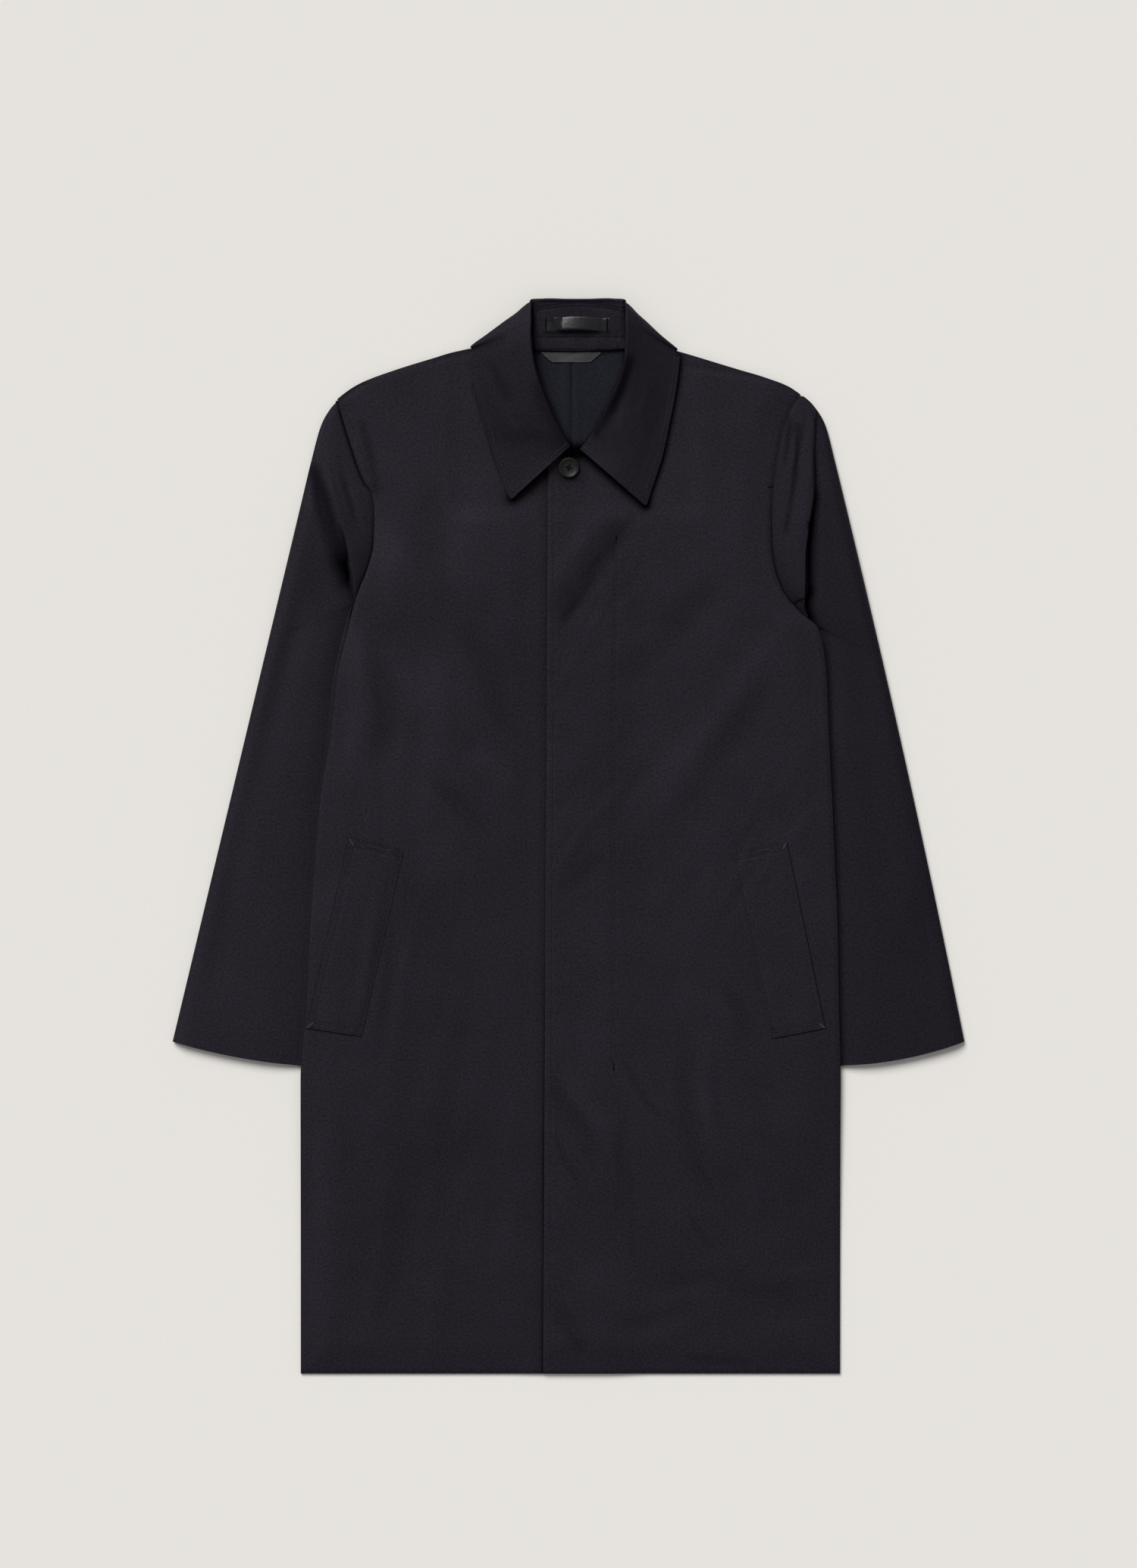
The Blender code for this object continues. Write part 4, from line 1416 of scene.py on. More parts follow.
@dataclass
class Sleeves:
    """Both set-in sleeves: a puffed top half over a flat under half."""

    shape: CoatShape
    edge_round: float = 15.0
    edge_top: float = 2.5
    top_height: float = 903.0
    cuff_height: float = 328.5
    cap_height: float = 53.0
    crest_clear: float = 4.0
    tuck_under: float = 0.8
    arm_rounding: float = 40.0
    arm_tuck: float = 0.7
    cuff_bow: Both[float] = Both(3.2, 5.0)
    steps: int = 11
    columns: int = 46
    pleat_columns: int = 18
    tip_rows: int = 3
    settle_passes: int = 600
    settle_reach: float = 3.5
    under_thin: float = 0.1
    outer_edges: Both[tuple[float, float, float, float]] = Both(
        (254.3, 391.5, 0, 7.6), (263.3, 391.5, 3.4, 8)
    )
    heads: Both[tuple[HeadRow, ...]] = Both(
        right=rows_of(
            HeadRow,
            (963.8, 963.2, -228.9, 963.5, 0.2, 3, 0.2, 0), (956, 952.5, -231, 955, 0.9, 6, 0.9, 0),
            (943, 935, -235.5, 939, 2.2, 12, 2.2, 0), (915, 900, -238.5, 905, 4, 16, 4, 0),
            (879, 864, -233, 868, 6, 20, 6, 0), (850.5, 834, -225.5, 838, 7.5, 22, 7.5, 0.15),
            (826, 806, -219.8, 814.5, 7.5, 26, 8.5, 0.9), (806, 783, -217.3, 800, 7, 26, 8, 1),
            (785, 757, -213.6, 780, 6.5, 20, 6.5, 1), (766, 731, -212, 764, 6, 20, 3.5, 0.9),
            (751, 711, -218, 749, 5.5, 40, 0.6, 0.8),
        ),
        left=rows_of(
            HeadRow,
            (968.3, 967.8, 229.8, 968, 0.2, 3, 0.2, 0), (960, 957.5, 238, 959.5, 1.2, 5, 1.2, 0.1),
            (945, 938, 244.3, 941, 2.8, 6, 2.8, 0.35), (915, 903, 243.5, 906, 4.6, 8, 5, 0.4),
            (879, 866, 244.3, 870, 6.2, 9, 7, 0.6), (850.5, 834, 240, 841, 7.5, 12, 8.5, 1),
            (820.5, 801, 236, 811, 7.5, 18, 9, 1.2), (798, 772, 235.5, 786, 7, 18, 9, 1.2),
            (778, 747, 234.8, 767, 6.5, 16, 7.5, 1.2), (760, 727, 234.5, 754, 6.2, 16, 3.5, 1.1),
            (748, 712, 243, 741, 5.8, 20, 1, 0.9), (737, 697, 250, 732, 5.5, 40, 0.2, 0.8),
        ),
    )
    arms: tuple[ArmRow, ...] = rows_of(
        ArmRow,
        (655, 690, 24, 5), (600, 624, 44, 4.6), (545, 560, 56, 4.2), (490, 497, 61, 4), (435, 434, 59, 4),
        (385, 373, 52, 4.2), (348, 330, 42, 4.6), (328.5, 305, 33, 4.8),
    )
    folds: Both[tuple[Fold, ...]] = Both(
        right=(
            Fold((-240, 896), (-217, 815), 12, 2.2), Fold((-252, 892), (-228, 806), 11, -3),
            Fold((-229, 890), (-211, 840), 6, 1.2), Fold((-222, 890), (-206, 836), 6, -1),
            Fold((-261, 766), (-299, 609), 19, -3.2), Fold((-285, 640), (-322, 470), 22, 1.2),
            Fold((-240, 700), (-262, 560), 14, 1.2), Fold((-330, 500), (-350, 380), 24, -1.4),
        ),
        left=(
            Fold((224, 938), (214, 900), 6, -1.5), Fold((234, 945), (221, 866), 6, -1.6),
            Fold((229, 940), (216, 862), 5, 1.2), Fold((240, 900), (229, 820), 8, 1),
            Fold((282, 720), (304, 590), 22, -2.4), Fold((318, 540), (342, 420), 26, 1.4),
            Fold((262, 690), (276, 520), 14, 1.2), Fold((350, 480), (368, 380), 18, -1.2),
        ),
    )

    # Painted shade: the black pleat gap, the hollow and the creases of the sleeve heads.
    shades: Both[tuple[Shade, ...]] = Both(
        right=rows_of(
            Shade,
            (((-252, 892), (-240, 856), (-231, 825), (-226, 800)), 8, 0.55),
            (((-218.5, 801), (-216.5, 788)), 12.5, 0.95, 1),
            (((-216, 788), (-212.5, 768)), 4.5, 0.45, 1),
            (((-258, 850), (-252, 770)), 14, 0.15),
            (((-228, 905), (-214, 850)), 4, 0.12),
            (((-236, 900), (-220, 842)), 4, 0.12),
        ),
        left=rows_of(
            Shade,
            (((244.5, 955), (243, 920), (243.8, 872)), 1.6, 0.7, -1),
            (((244.5, 945), (243, 920), (243.8, 872)), 6, 0.25, -1),
            (((243.5, 868), (239.5, 846), (236.5, 826)), 4, 0.8, -1),
            (((236.5, 840), (236.6, 772)), 4.4, 0.9, -1),
            (((236.6, 775), (234.2, 763), (236.2, 748)), 6, 0.95, -1),
            (((223.1, 761.8), (228, 764.8), (232.5, 766)), 1.3, 0.8),
            (((243, 860), (236.5, 820), (236.6, 755)), 11, 0.3, -1),
            (((226, 938), (224.5, 890), (214.5, 834)), 2.6, 0.4),
            (((218.5, 944), (214.5, 902)), 2.6, 0.3),
        ),
    )
    # Painted shade beside the body's edge and along the armhole seam.
    body_shade: Both[tuple[float, float]] = Both((0.15, 6), (0.6, 4.5))
    seam_shade: Both[tuple[float, float]] = Both((0.75, 2.4), (0.4, 1.2))
    tack_height: float = 868.0
    tack_fade: float = 12.0
    low_seam_shade: float = 0.25
    armhole_foot: Point = (705.0, 745.0)
    armhole_top: Point = (948.0, 958.0)

    def outer_x(self, side: Side, height: float) -> float:
        """x of a sleeve's outer edge.

        Args:
            side: the wearer's side.
            height: place up the coat.

        Returns:
            x of the edge.
        """
        top, cuff, bow, cap = self.outer_edges[side]
        down = (self.top_height - height) / (self.top_height - self.cuff_height)
        x = top + (cuff - top) * down
        if down > 0:
            x += bow * 4 * down * max(1 - down, 0)
        into_cap = max(height - self.top_height, 0) / self.cap_height
        return side.value * (x - cap * into_cap**4)

    def sections(self, side: Side) -> Array:
        """Sections along a sleeve: outer, crest and inner points, loft, rounding, pleat height and tuck.

        Args:
            side: the wearer's side.

        Returns:
            One section to a row.
        """
        rows = []
        for head in self.heads[side]:
            inner = float(self.shape.edge(side, head.seam)) - side.value * self.tuck_under
            rows.append(
                (
                    *(self.outer_x(side, head.outer), head.outer),
                    *(head.crest_x, head.crest_height),
                    *(inner, head.seam),
                    *(head.loft, head.rounding, head.pleat, head.tuck),
                )
            )
        for arm in self.arms:
            outer = np.array((self.outer_x(side, arm.outer), arm.outer))
            crest_x = float(self.shape.edge(side, arm.body)) + side.value * self.crest_clear
            crest = np.array((crest_x, arm.body))
            inward = unit(crest - outer)
            inner = crest + inward * arm.hidden
            rows.append((*outer, *crest, *inner, arm.loft, self.arm_rounding, 0, self.arm_tuck))
        finer = between(np.array(rows), self.steps)
        sewn = slice(0, (len(self.heads[side]) - 1) * self.steps + 1)
        finer[sewn, 4] = self.shape.edge(side, finer[sewn, 5]) - side.value * self.tuck_under
        return finer[self.tip_rows :]

    def top_points(self, side: Side) -> Array:
        """Upper face of a sleeve's top half.

        Args:
            side: the wearer's side.

        Returns:
            Rows and columns of x, height, z.
        """
        sections = self.sections(side)
        outer, crest, inner = sections[:, None, 0:2], sections[:, None, 2:4], sections[:, None, 4:6]
        loft, rounding, pleat, tuck = (sections[:, None, column] for column in (6, 7, 8, 9))
        base = 2 * self.shape.cloth + self.shape.rest_gap
        share = (1 - np.cos(np.linspace(0, math.pi, self.columns))) / 2
        arm = outer + (crest - outer) * share[None, :, None]
        span = np.linalg.norm(crest - outer, axis=2)
        edge = arc(share * span / np.minimum(self.edge_round, 0.5 * span))
        near = np.clip((1 - share) * span / np.minimum(rounding, 0.6 * span), 0, 1)
        fall = 1 - np.maximum(tuck, 0) * (1 - near) ** 2
        folds = sum(fold.at(arm[..., 0], arm[..., 1]) for fold in self.folds[side])
        soft = 0.7 * crumple(arm[..., 0], arm[..., 1], 60, 11 + side.value)
        arm_z = self.edge_top + (base - self.edge_top) * edge + (loft + folds + soft) * edge * fall
        # Below the armhole the puffed head runs out softly into the arm.
        foot = len(self.heads[side]) * self.steps - self.tip_rows
        from_foot = np.abs(np.arange(len(sections)) - foot) / self.steps
        settle = ease(self.settle_reach - from_foot)[1:-1, None] / 4
        for _ in range(self.settle_passes):
            arm_z[1:-1] += settle * (arm_z[:-2] - 2 * arm_z[1:-1] + arm_z[2:])
        past = np.linspace(0, 1, self.pleat_columns)[1:]
        front = crest + (inner - crest) * past[None, :, None]
        reach = np.linalg.norm(inner - crest, axis=2)
        ridges = sum(fold.at(front[..., 0], front[..., 1]) for fold in self.folds[side])
        folded = np.clip(tuck, 0, 1)
        level = (1 - folded) * loft + folded * pleat * arc(past * reach / 2.4)
        level = level + ridges * np.minimum(level / 4, 1)
        front_z = base + level * (1 - past**1.6) - 1.4 * (1 - ease((1 - past) * reach / 3))
        x = np.hstack([arm[..., 0], front[..., 0]])
        height = np.hstack([arm[..., 1], front[..., 1]])
        drop = self.cuff_bow[side] * 4 * share * (1 - share)
        last = len(sections) - 1
        fade = np.clip(1 - (last - np.arange(len(sections))) / (2 * self.steps), 0, 1)
        height[:, : self.columns] -= fade[:, None] * drop
        return np.dstack([x, height, np.hstack([arm_z, front_z])])

    def hollow(self, side: Side, points: Array) -> Array:
        """Painted shade on a sleeve: in the pleat, along the armhole and beside the body.

        Args:
            side: the wearer's side.
            points: the top half's points.

        Returns:
            The shade at each point.
        """
        x, height = points[..., 0], points[..., 1]
        beyond = np.maximum((x - self.shape.edge(side, height)) * side.value, 0)
        dark, reach = self.body_shade[side]
        (foot, foot_end), (top, top_end) = self.armhole_foot, self.armhole_top
        body = dark * bell(beyond / reach) * ease((foot_end - height) / (foot_end - foot))
        dark, reach = self.seam_shade[side]
        above = ease((height - self.tack_height) / self.tack_fade)
        low = self.low_seam_shade
        seam = (low + (dark - low) * above) * bell(beyond / (1 + (reach - 1) * above))
        seam = seam * ease((height - foot) / (foot_end - foot)) * ease((top_end - height) / (top_end - top))
        return 1 - (1 - shaded(self.shades[side], x, height)) * (1 - body) * (1 - seam)

    def under_points(self, side: Side) -> Array:
        """Upper face of a sleeve's under half, flat on the floor.

        Args:
            side: the wearer's side.

        Returns:
            Rows and columns of x, height, z.
        """
        points = self.top_points(side)[::2, ::3].copy()
        points[..., 2] = self.shape.cloth - self.under_thin
        return points

    def build(self) -> list[Piece]:
        """Builds both sleeves.

        Returns:
            The pieces.
        """
        pieces = []
        for side in Side:
            wall = self.shape.cloth - self.under_thin
            points = self.under_points(side)
            pieces.append(cloth_sheet(f"under_sleeve_{side.label}", points, wall, GABARDINE))
            points = self.top_points(side)
            cloth = GABARDINE if side is Side.RIGHT else SHADED_SLEEVE_GABARDINE
            hollow = self.hollow(side, points)
            pieces.append(cloth_sheet(f"top_sleeve_{side.label}", points, self.shape.wall, cloth, hollow))
        return pieces


@dataclass(frozen=True)
class CollarRow:
    """One section through the collar: rolled edge, where the fall turns under, free edge and neck seam.

    A row that turns under is sewn to the back neck at an x, and any other to the front neck at an angle.
    """

    roll: tuple[float, float, float]
    fold: Point | None
    edge: tuple[float, float, float]
    side: Side
    seam: float


R, L = Side.RIGHT, Side.LEFT


@dataclass
class Collar:
    """The collar: two leaves rolled over a stand, turned back behind the neck."""

    shape: CoatShape
    wall: float = 2.0
    stand_wall: float = 1.6
    steps: int = 8
    leaf_points: int = 18
    turn_points: int = 6
    under_points: int = 8
    lip_points: int = 6
    lip: float = 2.4
    fold_round: float = 2.4
    fold_top: float = 8.6
    drop_power: Both[float] = Both(1.25, 2.1)
    front_rise: float = 3.2
    corner: float = 2.8
    stitch_inset: float = 6.0
    stitch_rows: tuple[float, float, float] = (0.26, 0.37, 5.2)
    stitch_dots: tuple[int, int] = (60, 90)
    seam_height: tuple[float, float, float] = (5.6, 4.3, 7.4)
    folds: tuple[Fold | DragLines, ...] = (
        Fold((61, 998), (41, 936), 10, -2.2), Fold((80, 985), (62, 920), 16, 0.9),
        Fold((-62, 985), (-52, 925), 18, 0.8), Fold((-78, 1000), (-68, 960), 8, -0.6),
        Fold((-44, 945), (-66, 935), 7, -0.5),
        DragLines((-64, 950), (46, 28), 118, 9, 40, 0.5),
        DragLines((82, 940), (50, 24), 66, 9, 40, 0.5),
    )
    # Painted shade on the leaves: beside the rolled edges, in creases and broadly over the wearer's right
    # leaf.
    leaf_shades: tuple[Shade, ...] = rows_of(
        Shade,
        (((60, 1000), (52, 972), (40, 951), (27, 930)), 5.5, 0.45),
        (((60, 996), (52, 972), (44, 957)), 8, 0.2),
        (((-88, 931), (-40, 926), (-6, 922)), 8, 0.18),
        (((-30, 975), (-18, 945), (-3, 922)), 7, 0.25),
        (((-72, 990), (-60, 968)), 7, 0.14),
        (((-72, 1000), (-50, 920)), 45, 0.06),
    )
    # Painted shade on the stand: beside the rolled edges, under the loop, along the neck seam and at the
    # point.
    stand_shades: tuple[Shade, ...] = rows_of(
        Shade,
        (((-36.5, 1062), (-37, 1021), (-33, 994)), 4.2, 0.95),
        (((56, 1062), (57, 1021)), 2.2, 0.6),
        (((-24, 1029), (39, 1029)), 1.6, 0.6),
        (((-40, 1011.5), (60, 1011.5)), 1.2, 0.6),
        (((0, 912), (16, 909)), 11, 0.95),
    )
    stand_paths: tuple[Path, ...] = (
        ((-33, 1013.6), (9, 1013), (54, 1013.6)),
        ((-34, 1025), (9, 1025), (54, 1025)),
        ((-33, 1053.6), (-12, 1057), (9, 1058.4), (32, 1057), (54, 1053)),
        ((-34, 1050.9), (-12, 1054.3), (9, 1055.7), (32, 1054.3), (54, 1050.3)),
    )
    rows: tuple[CollarRow, ...] = rows_of(
        CollarRow,
        ((1.5, 916.5, 11), None, (-57.2, 863.4, 10), R, 84),
        ((-11.3, 936, 15), None, (-64.5, 880.5, 8.8), R, 72),
        ((-25.5, 966.8, 20), None, (-74.3, 909, 7.8), R, 54),
        ((-34.5, 993.8, 22), None, (-84.8, 942.8, 7.4), R, 36),
        ((-38.3, 1021.5, 22), None, (-94.5, 980.3, 7.4), R, 18),
        ((-38.3, 1038, 20), None, (-96.8, 1006, 7.8), R, 7),
        ((-38.5, 1046, 18), (-97, 1014.4), (-93, 1011, 6.4), R, 72),
        ((-38, 1053.6, 15.5), (-80, 1027.8), (-76, 1023.5, 1.4), R, 62),
        ((-36.6, 1057.8, 12.5), (-56, 1045.4), (-50, 1019.5, 1.4), R, 48),
        ((-31.8, 1060, 10.2), (-31.8, 1059.2), (-27, 1016, 1.4), R, 28),
        ((9, 1060, 9.6), (9, 1059.4), (9, 1016, 1.4), L, 9),
        ((50.2, 1060, 10.2), (50.2, 1059.2), (44, 1016, 1.4), L, 44),
        ((55.4, 1057.4, 12.5), (72.5, 1044), (62, 1019.5, 1.4), L, 54),
        ((57.2, 1053.2, 15.5), (92, 1025.8), (84, 1022.5, 1.4), L, 64),
        ((58, 1046, 18), (108, 1011.8), (104, 1008.6, 6.4), L, 74),
        ((57.8, 1038, 20), None, (109.5, 1005, 7.8), L, 7),
        ((57.8, 1021.5, 22), None, (107.3, 980.3, 7.4), L, 18),
        ((54.8, 993.8, 22), None, (100.5, 942.8, 7.4), L, 36),
        ((44.3, 966.8, 20), None, (92.3, 905.3, 7.8), L, 54),
        ((26.3, 931.5, 15), None, (82.5, 875.3, 8.8), L, 72),
        ((11.6, 913.5, 11), None, (76.8, 857, 10), L, 84),
    )

    def fall_section(self, row: CollarRow) -> Array:
        """One section of the fall, from inside the rolled edge out to the free edge.

        Args:
            row: the section's sizes.

        Returns:
            Points x, height, z.
        """
        roll, edge = np.array(row.roll), np.array(row.edge)
        outward = np.array(row.fold if row.fold else edge[:2]) - roll[:2]
        outward = unit(outward)
        lip = self.lip * float(np.clip((roll[2] - 9.6) / 8, 0.06, 1))
        angles = np.radians(np.linspace(105, 0, self.lip_points + 1)[:-1])
        inside = np.array([roll[:2] - outward * lip * np.sin(angle) for angle in angles])
        inside = np.column_stack([inside, roll[2] - lip * (1 - np.cos(angles))])
        whole = self.leaf_points + self.turn_points + self.under_points
        if row.fold is None:
            share = np.linspace(0, 1, whole)
            leaf = roll + (edge - roll) * share[:, None]
            leaf[:, 2] = edge[2] + (roll[2] - edge[2]) * (1 - share) ** self.drop_power[row.side]
            return np.vstack([inside, leaf])
        turn = np.array(row.fold)
        middle = (self.fold_top + edge[2]) / 2
        back = unit(roll[:2] - turn)
        under_way = unit(edge[:2] - turn)
        over = np.array((*(turn + back * self.fold_round), self.fold_top))
        under = np.array((*(turn + under_way * self.fold_round), edge[2]))
        top = roll + (over - roll) * np.linspace(0, 1, self.leaf_points)[:, None]
        bend = np.linspace(0, math.pi, self.turn_points + 2)[1:-1]
        start, end = turn + back * self.fold_round, turn + under_way * self.fold_round
        reach = np.sin(bend)[:, None]
        flat = np.where(bend[:, None] < math.pi / 2, start, end)
        round_plan = flat + (turn - flat) * reach
        round_z = middle + (self.fold_top - edge[2]) / 2 * np.cos(bend)
        rest = under + (edge - under) * np.linspace(0, 1, self.under_points)[:, None]
        return np.vstack([inside, top, np.column_stack([round_plan, round_z]), rest])

    def fall_points(self) -> Array:
        """Upper face of the fall.

        Returns:
            Rows and columns of x, height, z.
        """
        points = between(np.array([self.fall_section(row) for row in self.rows]), self.steps)
        x, height = points[..., 0], points[..., 1]
        folds = sum(fold.at(x, height) for fold in self.folds)
        soft = 0.35 * crumple(x, height, 28, 21)
        leaf = ease((1046 - height) / 24)
        count = points.shape[1]
        across = np.clip((np.arange(count) - self.lip_points) / (count - 1 - self.lip_points), 0, 1)
        billow = 1.6 * np.sin(math.pi * across) ** 1.2
        points[..., 2] += (folds + soft + billow) * leaf * ease(across / 0.12)
        number = np.arange(len(points))
        from_front = np.minimum(number, len(points) - 1 - number) / self.steps
        rise = self.front_rise * np.exp(-from_front / 1.1)[:, None] * np.sin(math.pi * across) ** 0.8
        points[..., 2] += rise + self.wall / 2
        self.round_corner(points)
        self.round_corner(points[::-1])
        return points

    def round_corner(self, points: Array) -> None:
        """Rounds the leaf's tip, at the first section's free edge, in place.

        Args:
            points: the fall's points, from the leaf's front edge on.
        """
        across = np.linalg.norm(points[0, 1:] - points[0, :-1], axis=1)
        from_front = run_along(points[:24, -1])
        from_edge = np.concatenate([np.cumsum(across[::-1])[::-1], [0]])
        row = int(np.argmin(np.abs(from_front - self.corner)))
        column = int(np.argmin(np.abs(from_edge - self.corner)))
        centre = points[row, column].copy()
        for i in range(row):
            for j in range(column + 1, points.shape[1]):
                a = 1 - from_front[i] / from_front[row]
                b = 1 - from_edge[j] / from_edge[column]
                share = max(a, b) / math.hypot(a, b)
                points[i, j, :2] = centre[:2] + (points[i, j, :2] - centre[:2]) * share

    def stand_points(self) -> Array:
        """Upper face of the stand, from the neck seam up to the rolled edge.

        Returns:
            Rows and columns of x, height, z.
        """
        sections = []
        front, back, point = self.seam_height
        for row in self.rows:
            if row.fold is None:
                x, height = self.shape.front_neck(row.side, row.seam, 0.985)
                z = point if row.seam > 70 else front
            else:
                x = row.side.value * row.seam
                height = self.shape.back_neck(row.side, x) + 1
                z = back
            foot = np.array((float(x), float(height), z))
            head = np.array(row.roll)
            reach = foot[:2] - head[:2]
            reach = unit(reach) * 1.6
            level = row.fold is not None and row.roll[2] < 10.6
            head = head + np.array((*reach, 0 if level else -3.3))
            sections.append(foot + (head - foot) * np.linspace(0, 1, 22)[:, None])
        points = between(np.array(sections), self.steps)
        x, height = points[..., 0], points[..., 1]
        points[..., 2] += self.stand_wall / 2 + 0.35 * crumple(x, height, 14, 31)
        quilting = Pressing(depth=0.3, pucker=0.32, pucker_reach=4, pucker_length=6)
        for path in self.stand_paths:
            points[..., 2] += quilting.at(path, x, height)
        return points

    def edge_rows(self, points: Array) -> list[Array]:
        """Stitching along the leaves' free edges, on the fall's upper face.

        Args:
            points: the fall's points.

        Returns:
            One row of points for each leaf.
        """
        count = points.shape[1]
        lines = []
        last = len(self.rows) - 1
        first, corner, end = self.stitch_rows
        front_dots, edge_dots = self.stitch_dots
        for start, step in ((0, 1), (float(last), -1)):
            line = []
            for across in np.linspace(0, 1, front_dots):
                row = start + step * (first + (corner - first) * across)
                line.append(self.on_fall(points, row, across))
            inset = self.inset_share(line[0], line[-1])
            line = line[1 : int(front_dots * (1 - inset))]
            for along in np.linspace(corner, end, edge_dots):
                row = start + step * along
                edge = points[int(round(row * self.steps)), count - 1]
                roll = points[int(round(row * self.steps)), self.lip_points]
                line.append(self.on_fall(points, row, 1 - self.inset_share(roll, edge)))
            lines.append(np.array(line))
        return lines

    def inset_share(self, roll: Array, edge: Array) -> float:
        """The stitching's distance from the edge as a share of the leaf's width."""
        return self.stitch_inset / float(np.linalg.norm(np.array(edge) - np.array(roll)))

    def on_fall(self, points: Array, row: float, across: float) -> Array:
        """A point on the fall's upper face.

        Args:
            points: the fall's points.
            row: the collar row, with a share of the way to the next.
            across: 0 at the roll to 1 at the free edge.

        Returns:
            x, height, z.
        """
        place = row * self.steps
        low = int(np.clip(math.floor(place), 0, len(points) - 2))
        column = self.lip_points + across * (points.shape[1] - 1 - self.lip_points)
        left = int(np.clip(math.floor(column), 0, points.shape[1] - 2))
        down, right = place - low, column - left
        upper = points[low, left] * (1 - right) + points[low, left + 1] * right
        lower = points[low + 1, left] * (1 - right) + points[low + 1, left + 1] * right
        return upper * (1 - down) + lower * down

    def build(self) -> list[Piece]:
        """Builds the fall, the stand and their stitching.

        Returns:
            The pieces.
        """
        points = self.fall_points()
        hollow = shaded(self.leaf_shades, points[..., 0], points[..., 1])
        fall = cloth_sheet("collar_fall", points, self.wall, SHADED_COLLAR_GABARDINE, hollow)
        rows = [(line + np.array((0, 0, 0.1)), TOPSTITCH) for line in self.edge_rows(points)]
        leaf_rows = sew("collar_fall_stitching", rows, THREAD)
        under = self.stand_points()
        hollow = shaded(self.stand_shades, under[..., 0], under[..., 1])
        stand = cloth_sheet("collar_stand", under, self.stand_wall, GABARDINE, hollow)
        surface = surface_over(under, self.stand_wall + 0.15)
        rows = [(on_surface(path, surface), FINE_STITCH) for path in self.stand_paths]
        return [fall, leaf_rows, stand, sew("collar_stand_stitching", rows, STAND_THREAD)]


